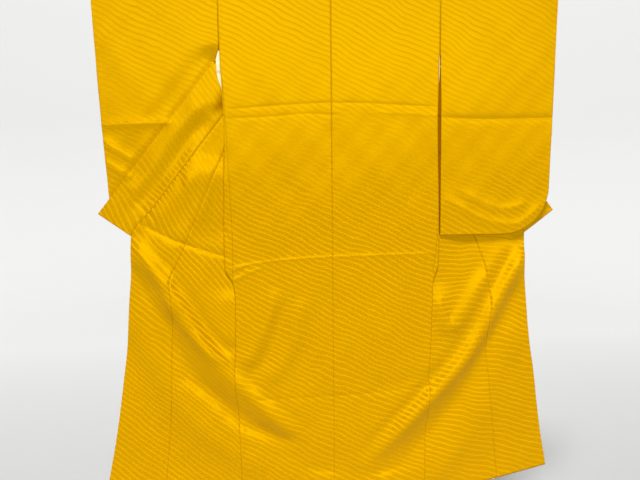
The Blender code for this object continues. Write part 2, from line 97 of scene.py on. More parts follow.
class Recipe:
    """A finish's node tree, with short ways to add and join its nodes."""

    def __init__(self, name):
        self.material = bpy.data.materials.new(name)
        self.material.use_nodes = True
        self.tree = self.material.node_tree
        self.shader = self.tree.nodes["Principled BSDF"]

    def add(self, kind, inputs=(), **settings):
        """A node with its settings, and each input either joined to a socket or set to a value."""
        node = self.tree.nodes.new("ShaderNode" + kind)
        for name, value in settings.items():
            setattr(node, name, value)
        for key, value in dict(inputs).items():
            if isinstance(value, bpy.types.NodeSocket):
                self.tree.links.new(value, node.inputs[key])
            else:
                node.inputs[key].default_value = value
        return node

    def place(self):
        """A place on the object, in metres."""
        return self.add("TexCoord").outputs["Object"]

    def flat(self, name):
        """A place in one of the piece's UV maps, in metres."""
        return self.add("UVMap", uv_map=name).outputs["UV"]

    def axes(self, vector):
        """A vector's X, Y and Z."""
        return self.add("SeparateXYZ", {0: vector}).outputs

    def stretch(self, vector, scale):
        """A vector with its axes scaled, which makes a pattern on it narrower by as much."""
        return self.add("Mapping", {"Vector": vector, "Scale": scale}).outputs[0]

    def math(self, operation, *values):
        """One sum, such as ADD or MULTIPLY, of joined sockets or numbers."""
        return self.add("Math", dict(enumerate(values)), operation=operation).outputs[0]

    def noise(self, vector, scale, detail=2.0):
        """Soft random spots, scale of them to the metre."""
        return self.add("TexNoise", {"Vector": vector, "Scale": scale, "Detail": detail}).outputs["Fac"]

    def spread(self, value, low, high, least=0.0, most=1.0):
        """Turns low to high into least to most, and stays at these outside."""
        settings = {"Value": value, "From Min": low, "From Max": high, "To Min": least, "To Max": most}
        return self.add("MapRange", settings).outputs["Result"]

    def fall(self, value, reach, low=0.0):
        """1 at low, and down to 0 at reach, on a smooth step."""
        settings = {"Value": value, "From Min": low, "From Max": reach, "To Min": 1.0, "To Max": 0.0}
        return self.add("MapRange", settings, interpolation_type="SMOOTHSTEP").outputs["Result"]

    def mix(self, share, one, two, blend_type="MIX"):
        """A colour between two colours."""
        inputs = {0: share, 6: one, 7: two}
        return self.add("Mix", inputs, data_type="RGBA", blend_type=blend_type).outputs[2]

    def bump(self, height, strength=1.0):
        """The surface's direction over a relief whose height is in metres."""
        inputs = {"Height": height, "Distance": 1.0, "Strength": strength}
        return self.add("Bump", inputs).outputs["Normal"]

    def finish(self, **inputs):
        """Sets or joins the shader's own inputs, named with underscores for spaces."""
        for name, value in inputs.items():
            socket = self.shader.inputs[name.replace("_", " ")]
            if isinstance(value, bpy.types.NodeSocket):
                self.tree.links.new(value, socket)
            else:
                socket.default_value = value
        return self.material


print("a recipe knows:", ", ".join(name for name in vars(Recipe) if not name.startswith("_")))

# %% [markdown]
# A plain studio, as for a garment shown against a pale wall. The floor sweeps up into the wall all round,
# so no corner shows: it is half a section spun about the upright axis, and wide enough to walk round the
# garment. Satin mirrors what stands before it, so the paint matters. It glows where it is the background,
# and hardly at all on the viewer's side, which leaves the silk something dim to mirror low down.

# %% Stage
FLOOR_Z = -1.78
WALL_TOP = 1.6
ROOM_RADIUS, SWEEP = 5.6, 1.6
SWEEP_STEPS, SPIN_STEPS = 12, 72

spun = bmesh.new()
section = [spun.verts.new((0, 0, FLOOR_Z)), spun.verts.new((ROOM_RADIUS - SWEEP, 0, FLOOR_Z))]
for step in range(1, SWEEP_STEPS + 1):
    turn = math.radians(90 / SWEEP_STEPS * step)
    out = ROOM_RADIUS - SWEEP + SWEEP * math.sin(turn)
    section.append(spun.verts.new((out, 0, FLOOR_Z + SWEEP * (1 - math.cos(turn)))))
section.append(spun.verts.new((ROOM_RADIUS, 0, WALL_TOP)))
outline = [spun.edges.new(pair) for pair in zip(section, section[1:])]
bmesh.ops.spin(spun, geom=section + outline, cent=(0, 0, 0), axis=(0, 0, 1), angle=2 * math.pi,
               steps=SPIN_STEPS, use_merge=True)
bmesh.ops.remove_doubles(spun, verts=spun.verts, dist=0.0001)
bmesh.ops.recalc_face_normals(spun, faces=spun.faces)
room_mesh = bpy.data.meshes.new("room")
spun.to_mesh(room_mesh)
spun.free()
room_mesh.shade_smooth()
room = bpy.data.objects.new("room", room_mesh)
bpy.context.scene.collection.objects.link(room)
print("room", ROOM_RADIUS, "m round, floor at", FLOOR_Z)

# %% The room's paint


def make_paint():
    """Grey paint that glows: more with height, and much more behind the garment than before it."""
    recipe = Recipe("pale paint")
    place = recipe.axes(recipe.place())
    upwards = recipe.spread(place["Z"], FLOOR_Z, 1.2, 0.35, 0.41)
    backwards = recipe.spread(place["Y"], -0.9, 2.4, 0.05, 1.0)
    glow = recipe.math("MULTIPLY", upwards, backwards)
    return recipe.finish(Base_Color=(0.38, 0.38, 0.376, 1), Roughness=0.9, Emission_Strength=glow)


room_mesh.materials.append(make_paint())
world = bpy.data.worlds.new("sky")
world.use_nodes = True
sky = world.node_tree.nodes["Background"].inputs
sky["Color"].default_value = (0.97, 0.98, 1.0, 1)
sky["Strength"].default_value = 0.08
bpy.context.scene.world = world
print("paint:", len(room_mesh.materials[0].node_tree.nodes), "nodes")

# %% [markdown]
# One soft light stands high in front. Light from above is what draws the folds, because cloth that faces up
# is bright and cloth that faces down is dark. A weaker panel stands for a window behind the viewer. The
# glossy ground of the silk mirrors it near the shoulders, and misses it near the hem.

# %% Light


def soft_light(name, place, aim, size, power):
    """A rectangular light at a place, turned towards a point."""
    lamp = bpy.data.lights.new(name, "AREA")
    lamp.shape = "RECTANGLE"
    lamp.size, lamp.size_y = size
    lamp.energy = power
    holder = bpy.data.objects.new(name, lamp)
    holder.location = place
    holder.rotation_euler = (Vector(aim) - Vector(place)).to_track_quat("-Z", "Y").to_euler()
    holder.visible_camera = False
    bpy.context.scene.collection.objects.link(holder)
    print(name, "of", power, "W")


soft_light("high light", place=(-1.4, -6.4, 13.4), aim=(0, 0, -0.9), size=(4.2, 2.9), power=3480)
soft_light("window light", place=(0.45, -4.4, 0.45), aim=(0.3, 0, -0.5), size=(4.6, 1.8), power=37)

# %% [markdown]
# The cut repeats the sizes of the solids, because this file can't read theirs. A row in a table is a place
# down the cloth, and a smooth curve runs through the rows, as a tailor's curve runs through chalk marks.

# %% Sizes of the cut
BODY_LENGTH = 1.56
SHOULDER_WIDTH = 0.31
NECK_HALF = 0.093
NECK_DROP = 0.025
ARMHOLE = 0.22
SLEEVE_LENGTH = 0.755
SLEEVE_ROUND = 0.135
CUFF = 0.23
# Where the fold-out crease of each front meets the side seam
CREASE_END, CREASE_END_OUT = 0.875, 0.2860
CLOTH = 0.0014
COLLAR_CLOTH = 0.0019
# The cloth's turn over the rod, and what a quarter turn takes off its height
FOLD_RADIUS = 0.0092
QUARTER = math.pi / 2 * FOLD_RADIUS
ARC_SHORTENS = QUARTER - FOLD_RADIUS
# From one layer of cloth to the next, between two sewn walls of a sleeve, and between two sewn pieces
LAYER_STEP = 0.0029
SEWN_GAP = 0.0021
SEAM_GAP = 0.0004
MM = 0.001
# A distance that no seam's shade reaches
FAR = 1.0
LEFT, RIGHT = -1, 1
WORDS = {LEFT: "left", RIGHT: "right"}
print("body", BODY_LENGTH, "sleeve", SLEEVE_LENGTH, "shoulder half", SHOULDER_WIDTH)

# %% Helpers for tables


def table(columns, rows):
    """A table read by column name."""
    return dict(zip(columns.split(), np.array(rows, dtype=float).T))


def read(source, key_column, column, key):
    """The column's value at each key, on a smooth curve through the rows."""
    keys, values = source[key_column], source[column]
    key = np.clip(key, keys[0], keys[-1])
    i = np.clip(np.searchsorted(keys, key, side="right") - 1, 0, len(keys) - 2)
    span = np.diff(keys)
    slope = np.diff(values) / span
    before, after = slope[:-1], slope[1:]
    same = before * after > 0
    inner = np.where(same, 2 * before * after / np.where(same, before + after, 1), 0)
    tangent = np.concatenate([slope[:1], inner, slope[-1:]])
    t = (key - keys[i]) / span[i]
    share = t * t * (3 - 2 * t)
    return ((1 - share) * values[i] + share * values[i + 1]
            + span[i] * (t * (1 - t) ** 2 * tangent[i] - t * t * (1 - t) * tangent[i + 1]))


def smooth(low, high, value):
    """0 below low, 1 above high, and a smooth step between."""
    t = np.clip((value - low) / (high - low), 0, 1)
    return t * t * (3 - 2 * t)


def blend(a, b, share):
    """Between a and b: a where the share is 0, b where it is 1."""
    return a + (b - a) * share


print("a smooth step half way:", smooth(0, 1, 0.5))

# %% [markdown]
# Two tables hold the outline. SIDE is the edge of each back panel: it is folded in by a pleat from the
# underarm to just above the knee, so the panel narrows where the pleat ends. SEAMS holds the turned fronts,
# which fan out beside the back: the seam between the front and its overlap, then the overlap's own outer
# edge.

# %% Outline tables
SIDE = {
    LEFT: table("down out", [
        (0.00, 0.3100), (0.22, 0.3085), (0.34, 0.3040), (0.45, 0.3005), (0.62, 0.3040),
        (0.76, 0.3070), (0.84, 0.3060), (0.88, 0.2860), (0.93, 0.2790), (1.05, 0.2810),
        (1.18, 0.2850), (1.27, 0.2770), (1.40, 0.2730), (1.56, 0.2700)]),
    RIGHT: table("down out", [
        (0.00, 0.3100), (0.22, 0.3075), (0.34, 0.3050), (0.45, 0.3035), (0.62, 0.3070),
        (0.76, 0.3090), (0.84, 0.3070), (0.89, 0.2930), (0.95, 0.2900), (1.05, 0.2880),
        (1.18, 0.2820), (1.27, 0.2810), (1.40, 0.2720), (1.56, 0.2690)]),
}
SEAMS = {
    LEFT: table("down seam_out seam_z edge_out edge_z", [
        (0.10, 0.1202, -0.096, 0.1202, -0.096), (0.23, 0.155, -0.220, 0.155, -0.220),
        (0.36, 0.2145, -0.336, 0.2356, -0.322), (0.55, 0.3016, -0.504, 0.3535, -0.471),
        (0.70, 0.363, -0.643, 0.446, -0.589), (0.80, 0.403, -0.734, 0.508, -0.668),
        (0.86, 0.4275, -0.790, 0.563, -0.737), (0.957, 0.461, -0.877, 0.5665, -0.835),
        (1.04, 0.457, -0.960, 0.574, -0.919), (1.16, 0.462, -1.080, 0.584, -1.040),
        (1.26, 0.465, -1.180, 0.598, -1.141), (1.36, 0.471, -1.280, 0.613, -1.243),
        (1.46, 0.481, -1.380, 0.631, -1.344), (1.56, 0.492, -1.490, 0.654, -1.455)]),
    RIGHT: table("down seam_out seam_z edge_out edge_z", [
        (0.10, 0.1202, -0.096, 0.1202, -0.096), (0.23, 0.155, -0.220, 0.155, -0.220),
        (0.36, 0.2145, -0.336, 0.2356, -0.322), (0.55, 0.3016, -0.504, 0.3535, -0.471),
        (0.70, 0.365, -0.643, 0.448, -0.592), (0.80, 0.407, -0.734, 0.511, -0.675),
        (0.86, 0.430, -0.790, 0.567, -0.748), (0.957, 0.456, -0.877, 0.5655, -0.845),
        (1.04, 0.464, -0.960, 0.573, -0.930), (1.16, 0.454, -1.080, 0.582, -1.050),
        (1.26, 0.462, -1.180, 0.597, -1.150), (1.36, 0.473, -1.280, 0.610, -1.250),
        (1.46, 0.482, -1.380, 0.624, -1.350), (1.56, 0.492, -1.490, 0.643, -1.455)]),
}
print("rows: side", len(SIDE[LEFT]["down"]), "seams", len(SEAMS[LEFT]["down"]))

# %% [markdown]
# Folds are drawn as lines on the cloth: four points, a depth in millimetres and a half width. A depth below
# zero stands out towards the viewer. FOLDS are in the solids too: the two great swags hang from the
# collar's ends and meet below the waist. CREASES are what pressing and sewing left, with a sharp section.
# SOFT adds the shallow rolls beside the swags and on the turned fronts.

# %% The great folds
FOLD_COLUMNS = "x0 z0 x1 z1 x2 z2 x3 z3 depth half_width"
FOLDS = table(FOLD_COLUMNS, [
    (-0.560, -0.745, -0.455, -0.890, -0.325, -1.110, -0.100, -1.330, -8.0, 0.085),
    (-0.560, -0.755, -0.452, -0.908, -0.330, -1.112, -0.105, -1.335, -9.0, 0.026),
    (-0.570, -0.800, -0.500, -0.950, -0.372, -1.175, -0.120, -1.380, 9.0, 0.033),
    (-0.565, -0.900, -0.505, -1.110, -0.395, -1.285, -0.190, -1.440, -7.0, 0.045),
    (0.565, -0.775, 0.495, -0.910, 0.365, -1.125, 0.100, -1.400, -7.0, 0.070),
    (0.566, -0.785, 0.500, -0.922, 0.370, -1.138, 0.105, -1.415, -9.0, 0.026),
    (0.570, -0.860, 0.482, -1.020, 0.385, -1.215, 0.180, -1.450, 9.0, 0.036),
    (0.570, -1.000, 0.485, -1.150, 0.400, -1.340, 0.270, -1.510, -8.0, 0.045),
    (0.300, -0.925, 0.333, -1.020, 0.385, -0.975, 0.455, -0.860, -6.0, 0.024),
    (-0.165, -0.890, -0.188, -0.980, -0.218, -1.050, -0.255, -1.115, -5.0, 0.022),
    (-0.140, -0.920, -0.162, -1.020, -0.195, -1.095, -0.235, -1.145, 4.0, 0.020),
    (-0.092, -0.920, -0.108, -1.020, -0.142, -1.100, -0.190, -1.165, -5.0, 0.028),
    (0.150, -1.450, 0.160, -1.500, 0.165, -1.540, 0.170, -1.580, -8.0, 0.060),
    (-0.030, -1.440, -0.040, -1.490, -0.045, -1.540, -0.050, -1.580, -8.0, 0.060),
    (-0.335, -0.350, -0.400, -0.430, -0.470, -0.520, -0.560, -0.630, -4.0, 0.024),
    (-0.345, -0.405, -0.415, -0.495, -0.475, -0.570, -0.545, -0.655, 5.0, 0.026),
    (-0.345, -0.520, -0.400, -0.585, -0.450, -0.645, -0.510, -0.715, -4.0, 0.030),
])
print("folds", len(FOLDS["depth"]))

# %% Pressed creases
CREASES = table(FOLD_COLUMNS, [
    (-0.645, -0.433, -0.580, -0.430, -0.520, -0.428, -0.440, -0.426, -3.0, 0.0100),
    (0.300, -0.414, 0.420, -0.420, 0.540, -0.419, 0.650, -0.417, 1.8, 0.0065),
    (-0.310, -0.392, -0.094, -0.377, 0.065, -0.374, 0.310, -0.386, 0.8, 0.0040),
    (-0.310, -0.416, -0.170, -0.411, -0.070, -0.403, 0.020, -0.408, 0.6, 0.0040),
    (0.100, -0.400, 0.180, -0.402, 0.240, -0.405, 0.310, -0.410, -0.6, 0.0080),
    (-0.310, -0.838, -0.191, -0.818, -0.014, -0.808, 0.310, -0.803, -1.3, 0.0045),
    (-0.290, -0.872, -0.255, -0.858, -0.235, -0.846, -0.200, -0.835, -1.6, 0.0050),
    (-0.300, -1.217, -0.041, -1.219, 0.109, -1.213, 0.300, -1.196, 1.2, 0.0060),
    (-0.540, -0.700, -0.462, -0.743, -0.415, -0.763, -0.285, -0.810, 2.6, 0.0055),
    (-0.515, -0.670, -0.487, -0.706, -0.460, -0.740, -0.440, -0.768, 1.5, 0.0050),
    (-0.555, -0.635, -0.540, -0.651, -0.527, -0.664, -0.512, -0.680, 1.3, 0.0050),
    (-0.264, -1.275, -0.266, -1.310, -0.267, -1.345, -0.269, -1.380, -1.8, 0.0050),
    (-0.565, -0.742, -0.512, -0.828, -0.478, -0.890, -0.456, -0.965, -3.5, 0.0160),
    (-0.470, -0.900, -0.448, -0.975, -0.355, -1.070, -0.297, -1.098, -2.5, 0.0120),
    (-0.353, -1.128, -0.275, -1.225, -0.200, -1.290, -0.125, -1.338, -2.2, 0.0140),
    (-0.560, -0.790, -0.535, -0.850, -0.505, -0.910, -0.470, -0.975, -2.0, 0.0080),
    (-0.563, -0.840, -0.540, -0.910, -0.505, -0.975, -0.465, -1.040, -2.0, 0.0100),
    (-0.308, -0.507, -0.369, -0.647, -0.409, -0.738, -0.434, -0.790, 1.0, 0.0030),
    (-0.448, -1.052, -0.400, -1.130, -0.345, -1.195, -0.290, -1.262, 1.3, 0.0045),
    (-0.446, -1.085, -0.396, -1.160, -0.345, -1.222, -0.295, -1.280, 1.3, 0.0045),
    (-0.452, -0.872, -0.405, -0.935, -0.365, -0.990, -0.310, -1.045, 0.4, 0.0050),
    (-0.440, -0.850, -0.395, -0.915, -0.350, -0.970, -0.306, -1.010, 0.4, 0.0050),
    (-0.292, -0.845, -0.278, -0.838, -0.262, -0.832, -0.248, -0.826, -1.6, 0.0035),
    (-0.288, -0.868, -0.270, -0.862, -0.255, -0.852, -0.243, -0.838, -1.6, 0.0035),
    (0.303, -0.935, 0.330, -0.985, 0.352, -1.018, 0.375, -1.018, -2.2, 0.0070),
    (0.100, -1.195, 0.180, -1.190, 0.240, -1.175, 0.300, -1.150, 3.0, 0.0300),
    (0.320, -0.638, 0.423, -0.700, 0.534, -0.722, 0.608, -0.668, -3.0, 0.0140),
    (0.355, -0.616, 0.459, -0.669, 0.515, -0.675, 0.563, -0.662, -2.5, 0.0120),
    (-0.632, -0.470, -0.605, -0.492, -0.580, -0.508, -0.550, -0.528, -2.5, 0.0090),
    (-0.628, -0.528, -0.605, -0.545, -0.580, -0.560, -0.555, -0.578, -2.5, 0.0090),
])
print("creases", len(CREASES["depth"]))

# %% Shallow rolls
SOFT = table(FOLD_COLUMNS, [
    (-0.325, -0.372, -0.420, -0.470, -0.490, -0.532, -0.560, -0.600, 3.0, 0.027),
    (-0.318, -0.520, -0.350, -0.610, -0.385, -0.690, -0.420, -0.760, -3.0, 0.026),
    (-0.420, -0.590, -0.380, -0.585, -0.340, -0.580, -0.300, -0.570, -3.0, 0.040),
    (-0.400, -0.745, -0.365, -0.735, -0.330, -0.725, -0.300, -0.715, 3.0, 0.040),
    (0.585, -0.900, 0.540, -1.020, 0.480, -1.160, 0.360, -1.400, 6.0, 0.050),
    (-0.600, -1.000, -0.560, -1.150, -0.500, -1.300, -0.420, -1.450, 4.0, 0.050),
    (0.540, -0.790, 0.468, -0.905, 0.338, -1.120, 0.080, -1.395, 5.0, 0.022),
    (-0.530, -0.755, -0.422, -0.890, -0.300, -1.094, -0.090, -1.312, 4.0, 0.022),
    (0.585, -0.764, 0.487, -0.957, 0.393, -1.119, 0.166, -1.343, -1.8, 0.020),
    (0.562, -0.752, 0.463, -0.945, 0.369, -1.107, 0.142, -1.329, 1.8, 0.021),
    (-0.495, -0.895, -0.447, -0.955, -0.365, -1.068, -0.300, -1.110, -3.0, 0.014),
    (-0.460, -0.858, -0.415, -0.922, -0.334, -1.040, -0.270, -1.075, 4.0, 0.018),
    (-0.462, -1.150, -0.352, -1.243, -0.282, -1.320, -0.102, -1.382, -2.4, 0.018),
    (-0.450, -1.124, -0.338, -1.216, -0.265, -1.290, -0.086, -1.352, 2.4, 0.018),
])
print("shallow rolls", len(SOFT["depth"]))

# %% How folds move the cloth
FOLD_STEPS = 18
FOLD_RISE = 0.22


def fold_line(source, row):
    """The points of one fold's smooth line."""
    corners = np.array([(source[f"x{i}"][row], source[f"z{i}"][row]) for i in range(4)])
    points = []
    for step in range(FOLD_STEPS + 1):
        i = min(3 * step // FOLD_STEPS, 2)
        t = 3 * step / FOLD_STEPS - i
        before, after = corners[max(i - 1, 0)], corners[min(i + 2, 3)]
        start, end = corners[i], corners[i + 1]
        bend = 2 * before - 5 * start + 4 * end - after
        twist = 3 * start - before - 3 * end + after
        points.append(0.5 * (2 * start + (end - before) * t + bend * t * t + twist * t ** 3))
    return np.array(points)


def folded(source, x, z, sharp=False):
    """How far a table's folds move the cloth at each place, along +Y."""
    moved = np.zeros_like(x)
    for row in range(len(source["depth"])):
        points = fold_line(source, row)
        nearest = np.full_like(x, 9.0)
        share = np.zeros_like(x)
        for i in range(FOLD_STEPS):
            along = points[i + 1] - points[i]
            beyond_x, beyond_z = x - points[i][0], z - points[i][1]
            t = np.clip((beyond_x * along[0] + beyond_z * along[1]) / (along @ along), 0, 1)
            distance = np.hypot(beyond_x - along[0] * t, beyond_z - along[1] * t)
            closer = distance < nearest
            nearest = np.where(closer, distance, nearest)
            share = np.where(closer, (i + t) / FOLD_STEPS, share)
        # A fold starts almost flat, and keeps a little of its depth at its end
        rise = smooth(0, FOLD_RISE, share + 0.02) * smooth(0, FOLD_RISE, 1.08 - share)
        reach = nearest / source["half_width"][row]
        fall = np.sqrt(reach ** 2 + 0.04) - 0.2 if sharp else reach ** 2
        moved += source["depth"][row] * MM * rise * np.exp(-fall)
    return moved


def relief(x, z):
    """The folds that the solids have too."""
    return folded(FOLDS, x, z)


print("a fold's line has", len(fold_line(FOLDS, 0)), "points")

# %% Small unevenness
# Height in millimetres, then how fast each wave runs across and down, and where it starts
HANGING_WAVES = ((0.35, 31, 13, 1.1), (0.30, 17, -27, 0.0), (0.22, 53, 41, 2.0), (0.14, 83, -71, 0.7))


def pressed(x, z):
    """Pressed creases, and the small unevenness that silk keeps after it has hung for a while."""
    waves = sum(high * np.sin(across * x + down * z + start) for high, across, down, start in HANGING_WAVES)
    return folded(SOFT, x, z) + folded(CREASES, x, z, sharp=True) + waves * MM * smooth(0.03, 0.15, -z)


print("the silk hangs uneven by", round(sum(wave[0] for wave in HANGING_WAVES), 2), "mm at most")

# %% [markdown]
# Depth: the garment hangs nearly flat, but it is layered. From the viewer's side come the back, the front's
# upper part, then the front that is turned over. On the left the turned front passes before the sleeve, and
# on the right behind it. Each layer's depth is read from one table, and the same folds move them all.

# %% Depth of each layer
DEPTHS = table("down back front_side front_crease turned_left turned_right", [
    (0.00, -9.2, 9.2, 9.2, -10.4, 7.0), (0.03, -9.2, 9.0, 9.1, -10.4, 7.0),
    (0.10, -8.6, 5.0, 7.0, -10.4, 7.0), (0.22, -8.2, -2.6, 3.5, -10.4, 7.0),
    (0.26, -8.2, -5.2, 2.0, -10.8, 7.0), (0.40, -8.2, -5.2, -1.0, -11.3, 7.0),
    (0.60, -8.2, -5.2, -4.0, -12.0, 7.0), (0.72, -8.2, -5.2, -5.0, -12.6, 6.0),
    (0.86, -8.2, -5.2, -5.2, -12.8, -1.0), (1.00, -8.2, -5.2, -5.2, -9.6, -8.0),
    (1.56, -8.2, -5.2, -5.2, -8.2, -8.2)])
HEM_RISE = 0.020


def crease_out(down):
    """How far out the crease of a front lies, from the neck point to the side seam."""
    return blend(NECK_HALF, CREASE_END_OUT, down / CREASE_END)


def depth(column, down):
    """A layer's depth, from the table."""
    return read(DEPTHS, "down", column, down) * MM


def back_depth(x, z):
    """The depth of the back, with its great folds."""
    return depth("back", -z) + relief(x, z)


def front_flat(x, z):
    """The depth of the front's upper part before its folds, between its crease and the side seam."""
    crease = crease_out(-z)
    share = np.clip((np.abs(x) - crease) / np.maximum(SHOULDER_WIDTH - crease, 0.01), 0, 1)
    return blend(depth("front_crease", -z), depth("front_side", -z), share)


def turned_depth(side, x, z, folds=1.0):
    """The depth of a turned front: behind the upper front near the body, and from its own column beyond."""
    inner = front_flat(x, z) + LAYER_STEP
    inner = blend(inner, depth("back", -z), smooth(CREASE_END + 0.005, CREASE_END + 0.065, -z))
    outer = depth("turned_" + WORDS[side], -z)
    beside_body = smooth(SHOULDER_WIDTH, SHOULDER_WIDTH + 0.08, np.abs(x))
    return blend(inner, outer, beside_body) + folds * relief(x, z)


def back_z(side, out, down):
    """The height of a place on the back: the hem's corners lie higher than its middle."""
    across = out / read(SIDE[side], "down", "out", down)
    return ARC_SHORTENS - down + HEM_RISE * smooth(0.9, BODY_LENGTH, down) * across ** 2


def over_rod(down, sign, y, z):
    """Cloth that passes over the rod: a quarter turn, and below it the given depth and height."""
    angle = np.minimum(down, QUARTER) / FOLD_RADIUS
    on_rod = down < QUARTER
    return (np.where(on_rod, sign * FOLD_RADIUS * np.sin(angle), y),
            np.where(on_rod, FOLD_RADIUS * (np.cos(angle) - 1), z))


print("the back hangs", round(float(depth("back", np.array(0.5))) * 1000, 1), "mm from the rod's axis")

# %% [markdown]
# A seam is where two cloths dip in to their thread. Beside the dip, one cloth's allowance is pressed in
# behind its neighbour, so a sewn garment shows a fine groove and never a slit. Two small curves make both.

# %% Seams
ALLOWANCE = 0.0075
TUCK = 0.0016


def seam_dip(distance, width=0.0022, deep=0.0009):
    """Cloth turns in where it is sewn: how far it lies back at a distance from the seam."""
    return deep * np.exp(-(distance / width) ** 2)


def tucked(distance):
    """Past the seam, the allowance lies this far behind its neighbour."""
    return TUCK * (1 - smooth(-0.0005, 0.0002, distance))


print("a seam dips", round(seam_dip(0) * 1000, 1), "mm")

# %% [markdown]
# The silk is figured satin: fine slanting waves, a hand's breadth long, woven as a matt face on a glossy
# ground. They could be painted on a picture, but arithmetic follows the cloth better. The strip's length is
# cut into equal steps, slanted and bent by soft noise, and each step holds one wave. The pattern reads the
# flat cloth's own coordinates, which is how it follows each strip over its folds.

# %% The woven waves
WAVE_PITCH = 0.0140
WAVE_SLANT = math.radians(26)


def woven_waves(recipe, cloth):
    """How much of the matt face shows at each place: 1 on a wave's crest, 0 on the ground."""
    flat = recipe.axes(cloth)
    long_wander = recipe.math("MULTIPLY", recipe.noise(cloth, 7.0, 1.0), 0.034)
    short_wander = recipe.math("MULTIPLY", recipe.noise(cloth, 26.0, 1.0), 0.0075)
    along = recipe.math("MULTIPLY", flat["Y"], math.cos(WAVE_SLANT))
    down = recipe.math("SUBTRACT", along, recipe.math("MULTIPLY", flat["X"], math.sin(WAVE_SLANT)))
    down = recipe.math("ADD", down, recipe.math("ADD", long_wander, short_wander))
    between = recipe.math("FRACT", recipe.math("DIVIDE", down, WAVE_PITCH))
    # A wave rises fast and fades slowly, and the ground has the rest of the step
    profile = recipe.add("ValToRGB", {"Fac": between})
    ramp = profile.color_ramp
    ramp.interpolation = "EASE"
    ramp.elements[1].position = 0.11
    for place, level in ((0.23, 0.66), (0.45, 0.0)):
        ramp.elements.new(place).color = (level, level, level, 1)
    strength = recipe.spread(recipe.noise(cloth, 16.0), 0.3, 0.65, 0.70, 1.0)
    return recipe.math("MULTIPLY", profile.outputs["Color"], strength)


print("waves", round(WAVE_PITCH * 1000, 1), "mm apart")

# %% [markdown]
# The two faces of the weave differ in gloss and in colour. The ground is partly a mirror, so the waves look
# dark where it shines, near the shoulders, and pale where it mirrors the dim floor, near the hem. The waves'
# colour is also painted darker near the shoulders and paler near the hem, as painted light to the same end.
# The painted shade in the seams, in the two slits beside the body and in thin cast shadows comes from a
# second UV map, which holds distances.

# %% The silk's colour
SATIN_GROUND = (0.845, 0.393, 0.0, 1)
# The waves' colour is painted light: darker near the shoulders, where the ground shines, paler near the hem
WAVE_PAINTED_DARK_NEAR_SHOULDER = (0.655, 0.310, 0.0, 1)
WAVE_PAINTED_PALE_NEAR_HEM = (0.955, 0.425, 0.0, 1)
# The colour painted as shade in the seams, in the slits and in thin cast shadows
SEAM_SHADE = (0.34, 0.120, 0.0003, 1)
SEAM_REACH, SEAM_DEEP = 0.0026, -0.0046
# How far and how dark the painted shade of a seam line or of a thin cast shadow line reaches
LINE_REACH, LINE_SHARE = 0.0024, 0.42


def seam_shade(recipe, distances):
    """Painted shade: X is the distance to a sewn edge or into a slit, Y to a seam or shadow line inside."""
    sewn = recipe.fall(distances["X"], SEAM_REACH, SEAM_DEEP)
    line = recipe.fall(recipe.math("ABSOLUTE", distances["Y"]), LINE_REACH)
    return recipe.math("MAXIMUM", sewn, recipe.math("MULTIPLY", line, LINE_SHARE))


def silk_colour(recipe, cloth, wave, shade):
    """The weave's two faces, painted light on the waves, a little uneven dye, and the painted shade of seams.
    """
    # Painted light: the waves are darker higher up the garment and paler lower down
    painted_light_share = recipe.spread(recipe.axes(recipe.place())["Z"], -0.30, -0.95)
    wave_with_painted_light = recipe.mix(painted_light_share, WAVE_PAINTED_DARK_NEAR_SHOULDER, WAVE_PAINTED_PALE_NEAR_HEM)
    colour = recipe.mix(wave, SATIN_GROUND, wave_with_painted_light)
    uneven = recipe.spread(recipe.noise(cloth, 3.0, 3.0), 0.3, 0.7, 0.965, 1.02)
    grey = recipe.add("CombineXYZ", {0: uneven, 1: uneven, 2: uneven}).outputs[0]
    colour = recipe.mix(1.0, colour, grey, "MULTIPLY")
    return recipe.mix(shade, colour, SEAM_SHADE)


print("the shade reaches", round(SEAM_REACH * 1000, 1), "mm from a sewn edge")

# %% The figured silk
SATIN_TINT = (0.5, 0.95, 0.0, 1)
SHEEN_TINT = (1.0, 0.8, 0.0, 1)


def silk_relief(recipe, cloth, wave, distances):
    """Fine grain, the waves' faint height, and small puckers that run away from the seams."""
    near = recipe.fall(distances["X"], 0.024)
    ripples = recipe.noise(recipe.stretch(cloth, (14.0, 95.0, 1.0)), 1.0, 1.0)
    pucker = recipe.math("MULTIPLY", recipe.math("MULTIPLY", ripples, near), 0.0005)
    grain = recipe.math("MULTIPLY", recipe.noise(cloth, 620.0), 0.00002)
    woven = recipe.math("MULTIPLY", wave, 0.00001)
    return recipe.bump(recipe.math("ADD", recipe.math("ADD", pucker, grain), woven), 0.8)


def make_silk():
    """The silk of the outer face."""
    recipe = Recipe("figured silk")
    cloth = recipe.flat("cloth")
    distances = recipe.axes(recipe.flat("edges"))
    wave = woven_waves(recipe, cloth)
    shade = seam_shade(recipe, distances)
    # The ground is smooth and partly a mirror, the waves are matt, and nothing shines where shade is painted
    roughness = recipe.math("ADD", 0.30, recipe.math("MULTIPLY", wave, 0.40))
    shine = recipe.math("SUBTRACT", 0.5, recipe.math("MULTIPLY", wave, 0.44))
    shine = recipe.math("MULTIPLY", shine, recipe.math("SUBTRACT", 1.0, shade))
    mirror = recipe.math("MULTIPLY", shine, 0.95)
    return recipe.finish(Base_Color=silk_colour(recipe, cloth, wave, shade), Roughness=roughness,
                         Normal=silk_relief(recipe, cloth, wave, distances), IOR=2.3, Metallic=mirror,
                         Specular_IOR_Level=shine, Specular_Tint=SATIN_TINT, Sheen_Weight=0.05,
                         Sheen_Roughness=0.4, Sheen_Tint=SHEEN_TINT)


silk = make_silk()
print("silk:", len(silk.node_tree.nodes), "nodes")

# %% [markdown]
# The lining is plain pale silk. It makes the inner face of every sheet, and is seen in the underarm opening
# and from the garment's front, so it has a fine plain weave and a faint unevenness.

# %% The lining


